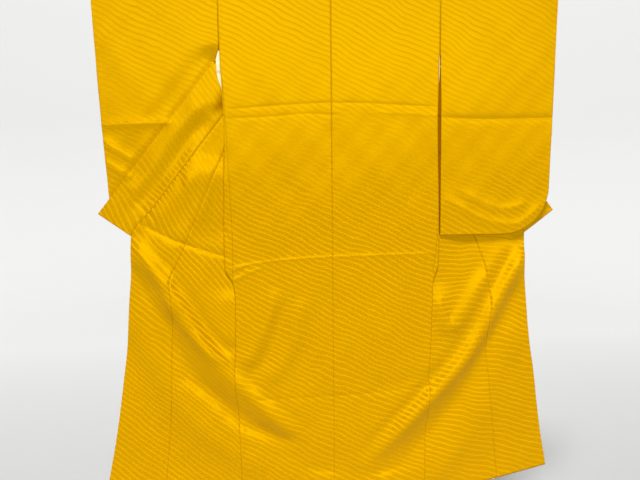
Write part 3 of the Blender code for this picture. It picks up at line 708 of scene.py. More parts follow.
def make_lining_silk():
    """The silk of the inner face."""
    recipe = Recipe("pale lining")
    cloth = recipe.flat("cloth")
    colour = recipe.mix(recipe.noise(cloth, 5.0, 3.0), (0.87, 0.79, 0.44, 1), (0.92, 0.85, 0.54, 1))
    threads = recipe.add("TexWave", {"Vector": cloth, "Scale": 190.0, "Distortion": 0.6}, wave_type="BANDS")
    grain = recipe.math("MULTIPLY", recipe.noise(cloth, 700.0), 0.00010)
    height = recipe.math("ADD", grain, recipe.math("MULTIPLY", threads.outputs["Fac"], 0.00003))
    return recipe.finish(Base_Color=colour, Roughness=0.6, Normal=recipe.bump(height, 0.8), Sheen_Weight=0.1,
                         Specular_IOR_Level=0.3)


lining = make_lining_silk()
print("lining:", len(lining.node_tree.nodes), "nodes")

# %% [markdown]
# Every piece starts from bmesh's own grid, whose rows and columns stand closer together at seams and
# creases. Each point of it is moved to its place on the garment. The flat cloth's coordinates stay with it
# as a UV map, in metres, so that the weave runs with the thread.

# %% Rows, columns and grids


def stations(start, end, step, fine=()):
    """Places from start to end about a step apart, closer together round each (place, reach, fine step)."""
    places = list(np.linspace(start, end, max(int(round(abs(end - start) / step)), 1) + 1))
    for middle, reach, fine_step in fine:
        low, high = max(middle - reach, min(start, end)), min(middle + reach, max(start, end))
        if high > low:
            places = [p for p in places if not low < p < high]
            places += list(np.linspace(low, high, max(int(round((high - low) / fine_step)), 1) + 1))
    places = sorted(set(round(float(p), 6) for p in places))
    kept = [places[0]]
    for p in places[1:-1]:
        if p - kept[-1] > 0.0004:
            kept.append(p)
    return kept + [places[-1]]


def drawn_grid(columns, rows, place):
    """A mesh of bmesh's grid, with each point moved by place(across, down).

    After x, y and z, place gives what two UV maps hold, in metres: "cloth" has the flat cloth's coordinates,
    and "edges" the distances to the piece's sewn edge and to a seam line inside it. The silk paints shade
    from them: in seams, in the slits beside the body, and as thin shadows along some edges.
    """
    grid = bmesh.new()
    bmesh.ops.create_grid(grid, x_segments=len(columns) - 1, y_segments=len(rows) - 1, size=0.5)
    mesh = bpy.data.meshes.new("grid")
    grid.to_mesh(mesh)
    grid.free()
    flat = np.empty(len(mesh.vertices) * 3)
    mesh.vertices.foreach_get("co", flat)
    flat = flat.reshape(-1, 3)
    across = np.array(columns)[np.rint((flat[:, 0] + 0.5) * (len(columns) - 1)).astype(int)]
    down = np.array(rows)[np.rint((flat[:, 1] + 0.5) * (len(rows) - 1)).astype(int)]
    x, y, z, u, v, edge, inner = place(across, down)
    mesh.vertices.foreach_set("co", np.stack([x, y, z + SHOULDER_Z], axis=1).ravel())
    corner = np.empty(len(mesh.loops), dtype=np.int32)
    mesh.loops.foreach_get("vertex_index", corner)
    for name, first, second in (("cloth", u, v), ("edges", edge, inner)):
        layer = mesh.uv_layers.new(name=name)
        layer.data.foreach_set("uv", np.stack([first[corner], second[corner]], axis=1).ravel())
    return mesh


# Round each pressed crease: its place, its reach, and the step of the rows there
CREASE_ROWS = [(0.405, 0.034, 0.0022), (0.820, 0.045, 0.0022), (1.222, 0.022, 0.0025)]
# From a sewn edge inwards
EDGE_COLUMNS = [0.0, 0.0007, 0.0016, 0.0028, 0.0045, 0.0068]
STEP = 0.0052
print("grid step", STEP)

# %% [markdown]
# One helper hangs a piece. Grids that meet in a fold are merged to one sheet, its outer face is turned to
# the viewer, and Solidify gives it a thickness, with the lining as the material of its inner face.

# %% Hang a sheet of cloth


def hang(name, grids, nodes, wall=CLOTH, materials=None):
    """Joins grids into one piece of cloth, whose nearest point faces the viewer, and gives it its wall."""
    whole = bmesh.new()
    for mesh in grids:
        whole.from_mesh(mesh)
        bpy.data.meshes.remove(mesh)
    bmesh.ops.remove_doubles(whole, verts=whole.verts, dist=0.00002)
    bmesh.ops.recalc_face_normals(whole, faces=whole.faces)
    whole.normal_update()
    nearest = min(whole.faces, key=lambda face: face.calc_center_median().y)
    if nearest.normal.y > 0:
        bmesh.ops.reverse_faces(whole, faces=whole.faces)
    mesh = bpy.data.meshes.new(name)
    whole.to_mesh(mesh)
    whole.free()
    mesh.shade_smooth()
    for material in materials or (silk, lining):
        mesh.materials.append(material)
    piece = bpy.data.objects.new(name, mesh)
    bpy.context.scene.collection.objects.link(piece)
    solid = piece.modifiers.new("wall", "SOLIDIFY")
    solid.thickness = wall
    solid.offset = 0
    solid.material_offset = 1
    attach(piece, "root")
    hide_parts(*nodes)
    one_side = sum(polygon.area for polygon in mesh.polygons)
    print(f"{name}: {len(mesh.polygons)} faces, {one_side:.4f} square metres of cloth")
    return piece


print("a wall of cloth is", CLOTH * 1000, "mm thick")

# %% [markdown]
# The body: each half is one strip of cloth, from the back hem up, over the rod, and down the front as far
# as its crease. It is two grids, back and front, whose points meet along the shoulder. The back neck is cut
# a little lower than the shoulder. Below the armhole a strip of the front shows past the side seam, so the
# seam is a line inside it.

# %% Sizes of the body
# How far the upper front stands out past the side in the underarm opening, and where it starts and ends
PEEK = {LEFT: 0.0110, RIGHT: 0.0025}
PEEK_STARTS, PEEK_ENDS = (0.2195, 0.268), (0.296, 0.350)
SIDE_SEAM = {
    LEFT: table("z x", [
        (-0.83, -0.2845), (-0.754, -0.2840), (-0.652, -0.2870), (-0.483, -0.2940), (-0.34, -0.3010)]),
    RIGHT: table("z x", [
        (-0.90, 0.2915), (-0.86, 0.2920), (-0.80, 0.3000), (-0.70, 0.3080), (-0.34, 0.3090)]),
}
# Between these the side seam is a line inside the back panel, whose own edge is folded in there
SIDE_LINE_TOP, SIDE_LINE_END = 0.31, 0.87
# From here down the panel's edge is sewn to the turned front
SIDE_SEWN = 0.86
NECK_FADE = 0.16
NECK_SHARE = NECK_HALF / SHOULDER_WIDTH
print("the neck takes", round(NECK_SHARE, 2), "of the shoulder")

# %% Places on the body


def neck_drop(out):
    """How far the back neck's edge lies below the shoulder fold, along the cloth."""
    return np.where(out < NECK_HALF, (NECK_DROP + QUARTER) * (1 - np.clip(out / NECK_HALF, 0, 1) ** 2.6), 0)


def back_place(side):
    """Where a back panel goes: across runs from the centre back to the side."""
    def place(across, down):
        out_side = read(SIDE[side], "down", "out", down)
        out = blend(SEAM_GAP / 2, out_side - SEAM_GAP / 2, across)
        lowered = down + neck_drop(out) * np.clip(1 - down / NECK_FADE, 0, 1)
        x, z = side * out, back_z(side, out, lowered)
        to_centre, to_side = out, out_side - out
        to_line = (read(SIDE_SEAM[side], "z", "x", z) - x) * side
        y = back_depth(x, z) + pressed(x, z) + seam_dip(to_centre) + seam_dip(to_side, 0.0020, 0.0006)
        y = y + tucked(to_centre)
        y = y + seam_dip(to_line, 0.0022, 0.0005) * smooth(0.30, 0.36, down) * (1 - smooth(0.84, 0.88, down))
        y, z = over_rod(lowered, -1, y, z)
        side_is_sewn = (down < ARMHOLE) | (down >= SIDE_SEWN)
        edge = np.where(side_is_sewn, np.minimum(to_centre, to_side), to_centre)
        line = np.where((down > SIDE_LINE_TOP) & (down < SIDE_LINE_END), to_line, FAR)
        return x, y, z, x, lowered, edge, line

    return place


def upper_front_place(side):
    """Where the upper front goes: across runs from its crease to the side."""
    def place(across, down):
        edge_out = read(SIDE[side], "down", "out", down) - SEAM_GAP / 2
        edge_out = edge_out + PEEK[side] * smooth(*PEEK_STARTS, down) * (1 - smooth(*PEEK_ENDS, down))
        crease = crease_out(down) + 0.0012 * smooth(0.0, 0.02, down)
        share = np.clip((across - NECK_SHARE) / (1 - NECK_SHARE), 0, 1)
        out = blend(crease, edge_out, share)
        x, z = side * out, ARC_SHORTENS - down
        y = front_flat(x, z) + relief(x, z) + pressed(x, z)
        y, z = over_rod(down, 1, y, z)
        return x, y, z, x, -down, edge_out - out, np.full_like(x, FAR)

    return place


print("the front stands out", PEEK[LEFT] * 1000, "mm in the left underarm opening")

# %% Body


def allowance_columns(width):
    """Columns before a panel's own, for the seam allowance that is turned in behind its neighbour."""
    return [-ALLOWANCE / width, -0.6 * ALLOWANCE / width, -0.3 * ALLOWANCE / width, -0.0007 / width]


# Rows at the shoulder stand close, to turn round over the rod
SHOULDER_ROWS = [0, 0.0015, 0.003, 0.0045, 0.006, 0.0075, 0.009, 0.0105, 0.012, QUARTER, 0.0175]
SHOULDER_END = 0.022
EDGE_CLEAR = 0.012
FRONT_ENDS = 0.868
near_centre = [place / SHOULDER_WIDTH for place in EDGE_COLUMNS]
near_side = [1 - share for share in near_centre]
inner_columns = stations(near_centre[-1] + EDGE_CLEAR, NECK_SHARE, STEP / SHOULDER_WIDTH)
outer_columns = stations(NECK_SHARE, near_side[-1] - EDGE_CLEAR, STEP / SHOULDER_WIDTH)
shoulder_columns = outer_columns + near_side[::-1]
back_rows = SHOULDER_ROWS + stations(SHOULDER_END, BODY_LENGTH, STEP, CREASE_ROWS)
front_rows = SHOULDER_ROWS + stations(SHOULDER_END, FRONT_ENDS, STEP)
for side in (LEFT, RIGHT):
    word = WORDS[side]
    turned_in = allowance_columns(SHOULDER_WIDTH) if side == LEFT else []
    back_columns = turned_in + near_centre + inner_columns[:-1] + shoulder_columns
    back = drawn_grid(back_columns, back_rows, back_place(side))
    front = drawn_grid(shoulder_columns, front_rows, upper_front_place(side))
    hang(f"body_{word}_cloth", [back, front], [f"back_{word}", f"front_{word}_shoulder"])

# %% [markdown]
# The turned fronts: each begins with the half turn round its crease, lies behind the upper front, and fans
# out to the seam with its overlap. Its warp runs along that seam. So the waves of the left front fall
# steeply and those of the right front lie nearly level, though both are the same cloth.

# %% Lines and shades of the fronts
# The slit between the body and the right sleeve, where the cloth behind is painted dark as shade
SLIT_OUT, SLIT_HALF = 0.313, 0.019
SLIT_TOP, SLIT_END = 0.235, 0.752
# The left one is a soft triangle of painted shade below the underarm opening, which grows wider
# on its way down
WEDGE_OUT, WEDGE_WIDTH = 0.314, 0.032
WEDGE_TOP, WEDGE_END = 0.320, 0.415
# Its shade fades out this many times more slowly than a seam's
WEDGE_SOFTNESS = 6
# The lowest distance that is kept: the shade is full there
DEEPEST = -0.005


def start_line(side, down):
    """Where the turned front begins: on its crease above, and at the side seam below."""
    out_low = read(SIDE[side], "down", "out", down)
    above = down < CREASE_END
    return (np.where(above, crease_out(down), out_low),
            np.where(above, ARC_SHORTENS - down, back_z(side, out_low, down)))


def seam_line(side, down):
    """The seam between a turned front and its overlap."""
    return read(SEAMS[side], "down", "seam_out", down), read(SEAMS[side], "down", "seam_z", down)


def shaded(side, x, z, edge):
    """Distance to the sewn edge, made low deep in the slits beside the body, so that shade is painted there.
    """
    out, down = np.abs(x), -z
    if side == LEFT:
        wedge_out = WEDGE_OUT + WEDGE_WIDTH * np.clip((down - 0.325) / 0.055, 0, 1)
        beside = np.maximum(out - wedge_out, np.maximum(WEDGE_TOP - down, down - WEDGE_END))
        to_slit = SEAM_REACH + beside / WEDGE_SOFTNESS
    else:
        beside = np.abs(out - SLIT_OUT) - SLIT_HALF
        to_slit = np.maximum(np.maximum(beside, down - SLIT_END), SLIT_TOP - down)
    return np.minimum(edge, np.maximum(to_slit, DEEPEST))


def between_lines(side, start, end, across, down):
    """A place between two lines, kept half a seam gap inside both, and the width of the panel there."""
    (out_a, z_a), (out_b, z_b) = start(side, down), end(side, down)
    width = np.maximum(np.hypot(out_b - out_a, z_b - z_a), 0.0004)
    inset = np.minimum(SEAM_GAP / 2 / width, 0.4)
    share = blend(inset, 1 - inset, across)
    return side * blend(out_a, out_b, share), blend(z_a, z_b, share), width, share


# The slits' darkness is painted shade
print("the right slit is dark from", SLIT_TOP, "to", SLIT_END, "below the shoulder")

# %% Places on the turned fronts


def front_place(side):
    """Where a turned front goes: across runs from its crease to the overlap's seam."""
    def place(across, down):
        across = np.where(down > CREASE_END, across, np.maximum(across, 0))
        x, z, width, share = between_lines(side, start_line, seam_line, across, down)
        to_seam, to_start = width * (1 - share), width * share
        low = smooth(CREASE_END - 0.01, CREASE_END + 0.03, down)
        y = turned_depth(side, x, z) + pressed(x, z) + seam_dip(to_seam, 0.0020, 0.0008)
        y = y + low * seam_dip(to_start) + tucked(to_start)
        edge = np.where(down > CREASE_END, np.minimum(to_seam, to_start), to_seam)
        # The turned front gets a thin painted shadow beside the back panel's edge
        beside = np.abs(x) - read(SIDE[side], "down", "out", -z) - 0.0012
        line = np.where((down > 0.40) & (down < CREASE_END), beside, FAR)
        return x, y, z, -side * to_seam, down, shaded(side, x, z, edge), line

    return place


def crease_place(side):
    """The half turn: from the upper front's crease edge round to the turned front."""
    def place(turn, down):
        x0, z0 = side * start_line(side, down)[0], start_line(side, down)[1]
        near, far = front_flat(x0, z0) + relief(x0, z0), turned_depth(side, x0, z0)
        angle = math.pi * turn
        radius = (far - near) / 2
        x = x0 - side * radius * np.sin(angle)
        y = (near + far) / 2 - radius * np.cos(angle) + pressed(x0, z0)
        return x, y, z0, 0 * x0, down, np.full_like(x, FAR), np.full_like(x, FAR)

    return place


print("the crease ends", CREASE_END, "below the shoulder")

# %% Turned fronts
PANEL_CREASE_ROWS = [(0.820, 0.05, 0.0024)]
TURN_STEPS = 8
FRONT_WIDTH = 0.19
FRONT_TOP, TURN_END = 0.12, CREASE_END - 0.007


def panel_rows(start, end):
    """Rows down a narrow panel, closer together round its pressed crease."""
    return stations(start, end, STEP, PANEL_CREASE_ROWS)


def columns_for(width, dense_start=False, dense_end=True):
    """Columns across a panel of about this width, closer together at its sewn edges."""
    edge = [place / width for place in EDGE_COLUMNS]
    first = edge if dense_start else [0.0]
    last = [1 - share for share in reversed(edge)] if dense_end else [1.0]
    gap = 0.6 * STEP / width
    return first + stations(first[-1] + gap, last[0] - gap, STEP / width) + last


for side in (LEFT, RIGHT):
    word = WORDS[side]
    upper, lower = panel_rows(FRONT_TOP, TURN_END), panel_rows(TURN_END, BODY_LENGTH)
    front_columns = allowance_columns(FRONT_WIDTH) + columns_for(FRONT_WIDTH)
    front = drawn_grid(front_columns, upper + lower[1:], front_place(side))
    turn = drawn_grid([i / TURN_STEPS for i in range(TURN_STEPS + 1)], upper, crease_place(side))
    hang(f"front_{word}_cloth", [front, turn], [f"front_{word}"])

# %% [markdown]
# The overlaps and the collar: narrow strips sewn one to the next beyond each front. The collar is folded
# double, so its free edge is round and it is thicker. Its warp runs along its length, which is why its
# waves cross it steeply.

# %% Lines of the overlaps and the collar
OVER_COLLAR_END, COLLAR_END = 0.36, 0.86
COLLAR_EDGE = {
    LEFT: table("down out z", [(OVER_COLLAR_END, 0.325, -0.262), (COLLAR_END, 0.650, -0.674)]),
    RIGHT: table("down out z", [(OVER_COLLAR_END, 0.327, -0.262), (COLLAR_END, 0.653, -0.683)]),
}


def edge_line(side, down):
    """The overlap's outer edge, which the collar is sewn to."""
    return read(SEAMS[side], "down", "edge_out", down), read(SEAMS[side], "down", "edge_z", down)


def collar_line(side, down):
    """The collar's free edge."""
    return read(COLLAR_EDGE[side], "down", "out", down), read(COLLAR_EDGE[side], "down", "z", down)


print("the collar's ends lie", COLLAR_EDGE[LEFT]["out"][-1], "and", COLLAR_EDGE[RIGHT]["out"][-1], "out")

# %% Places on the overlaps and the collar
# The collar is cut from another stretch of the bolt, so its waves start elsewhere
COLLAR_CUT = 0.20
# The collar lies at a slant, so it is this much longer than its height, and more so near its end
COLLAR_SLANT, END_SLANT = 1.06, 1.3
# Folded double, it is rounded by this much
COLLAR_CROWN = 0.0013
# The overlap's outer edge is sewn down to here
EDGE_SEWN = 0.87


def overlap_place(side):
    """Where an overlap goes: across runs from the front's seam to its own outer edge."""
    def place(across, down):
        x, z, width, share = between_lines(side, seam_line, edge_line, across, down)
        to_seam, to_edge = width * share, width * (1 - share)
        y = turned_depth(side, x, z) + pressed(x, z) + seam_dip(to_seam, 0.0028, 0.0013)
        y = y + seam_dip(to_edge, 0.0020, 0.0007) + tucked(to_seam)
        edge = np.where(down < EDGE_SEWN, np.minimum(to_seam, to_edge), to_seam)
        return x, y, z, side * to_seam, down, shaded(side, x, z, edge), np.full_like(x, FAR)

    return place


def collar_place(side):
    """Where a collar's end goes: across runs from the overlap's seam to its free edge."""
    def place(across, down):
        x, z, width, share = between_lines(side, edge_line, collar_line, across, down)
        to_seam = width * share
        crown = COLLAR_CROWN * np.sqrt(np.clip(1 - (2 * share - 1) ** 2, 0, 1))
        y = turned_depth(side, x, z) + pressed(x, z) - crown + seam_dip(to_seam, 0.0026, 0.0009)
        to_over_collar, to_end = (down - OVER_COLLAR_END) * COLLAR_SLANT, (COLLAR_END - down) * END_SLANT
        edge = shaded(side, x, z, np.minimum(np.minimum(to_seam, to_over_collar), to_end))
        return x, y, z, side * (COLLAR_CUT + to_seam), COLLAR_SLANT * down, edge, np.full_like(x, FAR)

    return place


print("the collar's pattern starts", COLLAR_CUT, "across the bolt")

# %% Overlaps and collar ends
OVERLAP_WIDTH, COLLAR_WIDTH = 0.13, 0.11
OVERLAP_TOP = 0.256

for side in (LEFT, RIGHT):
    word = WORDS[side]
    columns = allowance_columns(OVERLAP_WIDTH) + columns_for(OVERLAP_WIDTH, dense_start=True)
    overlap = drawn_grid(columns, panel_rows(OVERLAP_TOP, BODY_LENGTH), overlap_place(side))
    hang(f"overlap_{word}_cloth", [overlap], [f"overlap_{word}"])
    rows = panel_rows(OVER_COLLAR_END + SEAM_GAP, COLLAR_END)
    collar = drawn_grid(columns_for(COLLAR_WIDTH, dense_start=True), rows, collar_place(side))
    hang(f"collar_{word}_cloth", [collar], [f"collar_{word}"],
         wall=COLLAR_CLOTH)

# %% [markdown]
# The over-collar: one band from the middle of the back neck round to each front. Ten rows give its seam and
# its free edge on each half, and the last stretch lies on the turned front, where it ends in a short seam
# across the collar.

# %% The band's two edges
NECK_BAND = table("row seam_out seam_y seam_z edge_out edge_y edge_z", [
    (0, 0.0000, -9.7, -0.0331, 0.000, -19.5, 0.025), (1, 0.0500, -9.9, -0.0253, 0.053, -19.0, 0.031),
    (2, 0.0790, -11.2, -0.0070, 0.083, -17.0, 0.044), (3, 0.0862, -7.5, -0.0005, 0.090, -12.0, 0.051),
    (4, 0.0912, -2.0, 0.0022, 0.094, -4.0, 0.056), (5, 0.0922, 7.5, -0.0005, 0.100, 12.0, 0.054),
    (6, 0.0935, 11.5, -0.0110, 0.111, 30.0, 0.035), (7, 0.0990, 13.0, -0.0450, 0.134, 50.0, -0.018),
    (8, 0.1130, 12.5, -0.0900, 0.170, 44.0, -0.062), (9, 0.1340, 11.5, -0.1500, 0.215, 26.0, -0.112),
    (10, 0.1570, 8.5, -0.2180, 0.244, 12.0, -0.158)])
NECK_ROWS, BAND_ROWS = 10, 12
BAND_TOP = 0.23


def band_point(line, share):
    """A point of the over-collar's seam or free edge: share 0 is the centre back, -1 and 1 its two ends."""
    row = np.abs(share) * BAND_ROWS
    side = np.where(share < 0, LEFT, RIGHT)
    on_neck = np.minimum(row, NECK_ROWS)
    out, deep, z = (read(NECK_BAND, "row", line + axis, on_neck) for axis in ("_out", "_y", "_z"))
    along = np.clip((row - NECK_ROWS) / (BAND_ROWS - NECK_ROWS), 0, 1)
    if line == "seam":
        end_out, end_z = edge_line(LEFT, blend(BAND_TOP, OVER_COLLAR_END, along))
    else:
        last_out, last_z = NECK_BAND["edge_out"][-1], NECK_BAND["edge_z"][-1]
        ends = (blend(last_out, COLLAR_EDGE[s]["out"][0], along) for s in (LEFT, RIGHT))
        end_out = np.where(side < 0, *ends)
        end_z = blend(last_z, COLLAR_EDGE[LEFT]["z"][0], along)
    own = np.where(side < 0, *(turned_depth(s, s * end_out, end_z) for s in (LEFT, RIGHT)))
    start_y = NECK_BAND[line + "_y"][-1] * MM
    end_y = blend(np.maximum(own, start_y), own, smooth(NECK_ROWS, NECK_ROWS + 1, row))
    past = row > NECK_ROWS
    x = side * np.where(past, end_out, out)
    return np.stack([x, np.where(past, end_y, deep * MM), np.where(past, end_z, z)])


middle = band_point("edge", np.zeros(1))[:, 0]
print("the collar stands", round(middle[2] * 1000), "mm above the shoulder at the centre back")

# %% Over-collar
# Half the band's length as its pattern counts it and as its end seams do, and where its pattern starts
BAND_HALF, BAND_HALF_TO_END, BAND_CUT = 0.58, 0.62, 0.18
# It stops just short of the two collar ends
BAND_END = 11.97 / BAND_ROWS
BAND_STEP = 0.009
BAND_WIDTH = 0.09


def over_collar_place(across, share):
    """Where the band goes: across runs from its seam to its free edge, and share from end to end."""
    seam, edge = band_point("seam", share), band_point("edge", share)
    width = np.linalg.norm(edge - seam, axis=0)
    x, y, z = seam + (edge - seam) * blend(SEAM_GAP / width, 1, across)
    side = np.sign(share)
    to_seam = width * across
    to_sewn = np.minimum(to_seam, (1 - np.abs(share)) * BAND_HALF_TO_END)
    to_sewn = np.where(side > 0, shaded(RIGHT, x, z, to_sewn), to_sewn)
    pattern_down = BAND_HALF * np.abs(share) - BAND_CUT
    return x, y, z, side * (COLLAR_CUT + to_seam), pattern_down, to_sewn, np.full_like(x, FAR)


band_rows = stations(-BAND_END, BAND_END, BAND_STEP)
band = drawn_grid(columns_for(BAND_WIDTH, dense_start=True), band_rows, over_collar_place)
hang("over_collar_cloth", [band], ["over_collar"], wall=COLLAR_CLOTH)

# %% [markdown]
# The sleeves: each is one strip folded over the rod and sewn into a bag with a rounded corner. Its back and
# its front are two grids. They meet over the shoulder, and close on each other with a round lip where they
# are sewn. The left one lies partly under the turned front, so it gives way there, and lies deeper along the
# collar's edge, which shades it. A thin shadow is also painted on it along that edge.

# %% Outline of the sleeves
SLEEVE_OUT = {
    LEFT: table("down out", [
        (0.0, 0.6500), (0.20, 0.6420), (0.43, 0.6310), (0.62, 0.6200), (0.755, 0.6160)]),
    RIGHT: table("down out", [
        (0.0, 0.6500), (0.23, 0.6430), (0.41, 0.6390), (0.58, 0.6340), (0.755, 0.6300)]),
}
# The room between the sleeve's two walls in millimetres, beside the armhole's seam and in the middle
SLEEVE_GAPS = table("down seam middle", [
    (0.00, 18.4, 18.4), (0.03, 18.3, 18.3), (0.10, 13.6, 14.6), (0.22, 5.6, 12.6), (0.26, 3.4, 12.6),
    (0.45, 3.4, 12.4), (0.755, 3.4, 10.5)])
# The inner edge is open below these places
SLEEVE_OPENS = {LEFT: ARMHOLE + 0.012, RIGHT: ARMHOLE + 0.024}
# Between these distances from the middle the sleeve comes free of its seam with the body
COMES_FREE = (0.33, 0.42)
COLLAR_TOP, COLLAR_CORNER = np.array((-0.314, -0.249)), np.array((-0.650, -0.674))
# The sleeve lies this much deeper along the collar's edge, which draws that edge in shade
COLLAR_HOLLOW = 1.6 * MM


def past_collar(x, z):
    """The distance from the left collar's free edge, above zero where the collar lies over the sleeve."""
    along = (COLLAR_CORNER - COLLAR_TOP) / np.linalg.norm(COLLAR_CORNER - COLLAR_TOP)
    return -along[1] * (x - COLLAR_TOP[0]) + along[0] * (z - COLLAR_TOP[1])


print("the sleeves reach", SLEEVE_OUT[LEFT]["out"][0], "out")

# %% Depth of the sleeves


def sleeve_cover(side, x, z):
    """How far the turned front covers this place of the left sleeve: 0 is not at all, 1 is wholly."""
    if side == RIGHT:
        return np.zeros_like(x)
    past = past_collar(x, z)
    near_seam = 1 - smooth(*COMES_FREE, np.abs(x))
    below_armhole = smooth(ARMHOLE - 0.010, 0.262, -z)
    return smooth(-0.080, -0.022, past) * blend(1.0, below_armhole, near_seam)


def sleeve_back_depth(side, x, z):
    """The depth of the sleeve's back wall, which gives way behind the turned front."""
    out = np.abs(x)
    beside_seam = smooth(*COMES_FREE, out)
    own = depth("back", np.minimum(-z, ARMHOLE)) - 0.4 * MM * smooth(0.33, 0.45, out)
    under = turned_depth(side, x, z, folds=0.35) + LAYER_STEP + blend(0.7, 3.2, beside_seam) * MM
    at_collar = smooth(-0.016, -0.001, past_collar(x, z)) * smooth(ARMHOLE, 0.265, -z) * (side == LEFT)
    return blend(own, under, sleeve_cover(side, x, z)) + COLLAR_HOLLOW * at_collar


def sleeve_front_depth(side, x, z, edge_out):
    """The depth of the sleeve's front wall: apart from the back wall, and close to it where they are sewn."""
    down, out = -z, np.abs(x)
    back = sleeve_back_depth(side, x, z)
    middle = smooth(SHOULDER_WIDTH, SHOULDER_WIDTH + 0.09, out)
    own = depth("back", np.minimum(down, ARMHOLE)) + 3.5 * MM * middle * sleeve_cover(side, x, z)
    seam_gap, middle_gap = (read(SLEEVE_GAPS, "down", name, down) for name in ("seam", "middle"))
    near = 1 - smooth(0, 0.05, edge_out - out)
    sewn = np.maximum(near * smooth(CUFF, CUFF + 0.05, down), 1 - smooth(0, 0.06, SLEEVE_LENGTH - down))
    apart = np.maximum(own, back * (1 - middle) + own * middle) + blend(seam_gap, middle_gap, middle) * MM
    front = np.maximum(blend(apart, back + SEWN_GAP, sewn), back + SEWN_GAP)
    behind = turned_depth(side, x, z) - LAYER_STEP - 0.3 * MM
    return np.where((side == RIGHT) & (down >= ARMHOLE), np.minimum(front, behind), front)


print("sewn sleeve walls lie", SEWN_GAP * 1000, "mm apart")

# %% Places on the sleeves


def sleeve_place(side, layer):
    """Where a wall of a sleeve goes: layer is -1 for its back and 1 for its front."""
    def place(across, down):
        corner = np.maximum(down - (SLEEVE_LENGTH - SLEEVE_ROUND), 0)
        rounded = SLEEVE_ROUND - np.sqrt(np.maximum(SLEEVE_ROUND ** 2 - corner ** 2, 0))
        edge_out = read(SLEEVE_OUT[side], "down", "out", down) - rounded
        inner_out = SHOULDER_WIDTH + SEAM_GAP / 2 + 0.003 * smooth(ARMHOLE, 0.40, down)
        sewn_to_body = down < SLEEVE_OPENS[side]
        out = blend(inner_out, edge_out, np.where(sewn_to_body, across, np.maximum(across, 0)))
        x, z = side * out, ARC_SHORTENS - down
        back, front = sleeve_back_depth(side, x, z), sleeve_front_depth(side, x, z, edge_out)
        to_lip = np.minimum(np.where(down > CUFF, edge_out - out, FAR), SLEEVE_LENGTH - down)
        half = (front - back) / 2
        lip = np.sqrt(np.clip(1 - (1 - np.clip(to_lip / SEWN_GAP * 2, 0, 1)) ** 2, 0, 1))
        y = (back + front) / 2 + layer * half * np.where(half < 0.6 * SEWN_GAP, lip, 1) + pressed(x, z)
        to_body = out - inner_out
        y, z = over_rod(down, layer, y - layer * tucked(to_body), z)
        edge = np.minimum(np.where(sewn_to_body, to_body, FAR), to_lip * 1.2 + 0.0006)
        # The left sleeve gets a thin painted shadow along the collar's free edge
        line = np.where((down > 0.25) & (side == LEFT), past_collar(x, z), FAR)
        return x, y, z, x, -layer * down, edge, line

    return place


print("the left sleeve opens", SLEEVE_OPENS[LEFT], "below the shoulder")

# %% Sleeves
SLEEVE_WIDTH = 0.33
SLEEVE_CREASE = [(0.420, 0.026, 0.0022)]
LIP = [0.0, 0.0001, 0.0003, 0.0006, 0.0011, 0.002, 0.0035]
LIP_CLEAR = 0.009

first = [place / SLEEVE_WIDTH for place in EDGE_COLUMNS]
last = [1 - place / SLEEVE_WIDTH for place in reversed(LIP)]
across_sleeve = stations(first[-1] + EDGE_CLEAR, last[0] - EDGE_CLEAR, STEP / SLEEVE_WIDTH)
columns = allowance_columns(SLEEVE_WIDTH) + first + across_sleeve + last
rows = SHOULDER_ROWS + stations(SHOULDER_END, SLEEVE_LENGTH - LIP_CLEAR, STEP, SLEEVE_CREASE)
rows = rows + [SLEEVE_LENGTH - place for place in reversed(LIP)]
for side in (LEFT, RIGHT):
    word = WORDS[side]
    walls = [drawn_grid(columns, rows, sleeve_place(side, layer)) for layer in (-1, 1)]
    hang(f"sleeve_{word}_cloth", walls, [f"sleeve_{word}_back", f"sleeve_{word}_front"])

# %% [markdown]
# In the left underarm opening the lining shows as a pale strip, on the inner face of the upper front. It is
# a piece of its own, because it is the one place where this side of the garment shows its inside.

# %% Lining strip
STRIP_TOP, STRIP_END = 0.266, 0.298
STRIP_COLUMNS = 6
STRIP_WALL = 0.0008
# It starts a little inside the front's edge, and is let in over this length at its two ends
STRIP_INSET, STRIP_LET_IN = 0.0006, 0.008


def lining_place(across, down):
    """Where the strip goes: laid on the upper front, with its two ends let in."""
    side_out = read(SIDE[LEFT], "down", "out", down)
    edge_out = blend(side_out + 0.001, side_out + PEEK[LEFT], smooth(*PEEK_STARTS, down))
    out = edge_out - STRIP_INSET - (PEEK[LEFT] - 0.0015) * (1 - across)
    x, z = LEFT * out, ARC_SHORTENS - down
    laid = smooth(STRIP_TOP, STRIP_TOP + STRIP_LET_IN, down)
    laid = laid * (1 - smooth(STRIP_END - STRIP_LET_IN, STRIP_END, down))
    lift = CLOTH / 2 + blend(-0.0005, 0.0010, laid)
    y = front_flat(x, z) + relief(x, z) + pressed(x, z) - lift
    return x, y, z, x, down, np.full_like(x, 0.01), np.full_like(x, FAR)


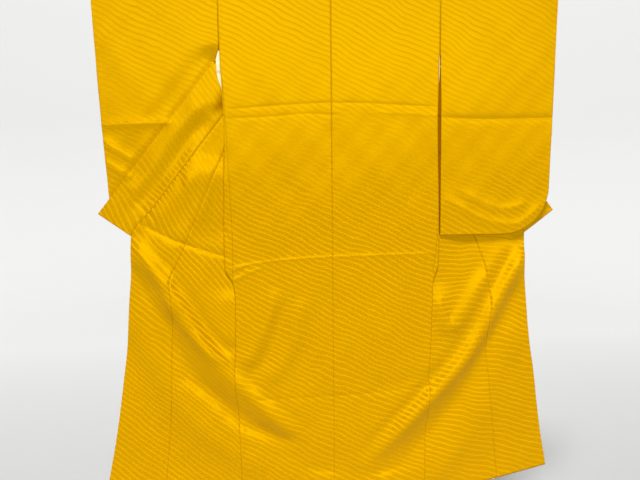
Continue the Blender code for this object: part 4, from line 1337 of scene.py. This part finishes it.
strip_columns = [i / STRIP_COLUMNS for i in range(STRIP_COLUMNS + 1)]
strip = drawn_grid(strip_columns, stations(STRIP_TOP, STRIP_END, 0.002), lining_place)
hang("lining_strip", [strip], ["lining_left"], wall=STRIP_WALL,
     materials=(lining, lining))

# %% [markdown]
# The rod and its hook stay as they are in the solids, with finishes of their own. The rod is pale turned
# wood, whose grain is stretched along it. The hook is bent steel wire, drawn through a die, so its fine
# scratches run along it.

# %% Rod and hook


def make_wood():
    """Pale wood, with its grain along X."""
    recipe = Recipe("turned wood")
    place = recipe.place()
    grain = recipe.noise(recipe.stretch(place, (2.5, 130.0, 130.0)), 1.0, 4.0)
    fine = recipe.noise(recipe.stretch(place, (14.0, 900.0, 900.0)), 1.0)
    colour = recipe.mix(grain, (0.70, 0.50, 0.30, 1), (0.50, 0.32, 0.17, 1))
    colour = recipe.mix(recipe.math("MULTIPLY", fine, 0.4), colour, (0.40, 0.25, 0.13, 1))
    pores = recipe.math("MULTIPLY", fine, 0.00012)
    rough = recipe.math("ADD", 0.36, recipe.math("MULTIPLY", grain, 0.16))
    return recipe.finish(Base_Color=colour, Roughness=rough, Normal=recipe.bump(pores))


def make_wire():
    """Bright steel, with its scratches along Z."""
    recipe = Recipe("drawn wire")
    scratches = recipe.noise(recipe.stretch(recipe.place(), (1200.0, 1200.0, 90.0)), 1.0)
    colour = recipe.mix(scratches, (0.62, 0.62, 0.64, 1), (0.80, 0.80, 0.82, 1))
    rough = recipe.math("ADD", 0.20, recipe.math("MULTIPLY", scratches, 0.18))
    bump = recipe.bump(recipe.math("MULTIPLY", scratches, 0.00004))
    return recipe.finish(Base_Color=colour, Roughness=rough, Metallic=1.0, Normal=bump)


for node, finish in (("rod", make_wood()), ("hook", make_wire())):
    for held in bpy.data.objects:
        if held.get("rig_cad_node") == node or held.name == node:
            for place in held.material_slots:
                place.material = finish
            print(node, "has", len(held.material_slots), "finish:", finish.name)

# %% [markdown]
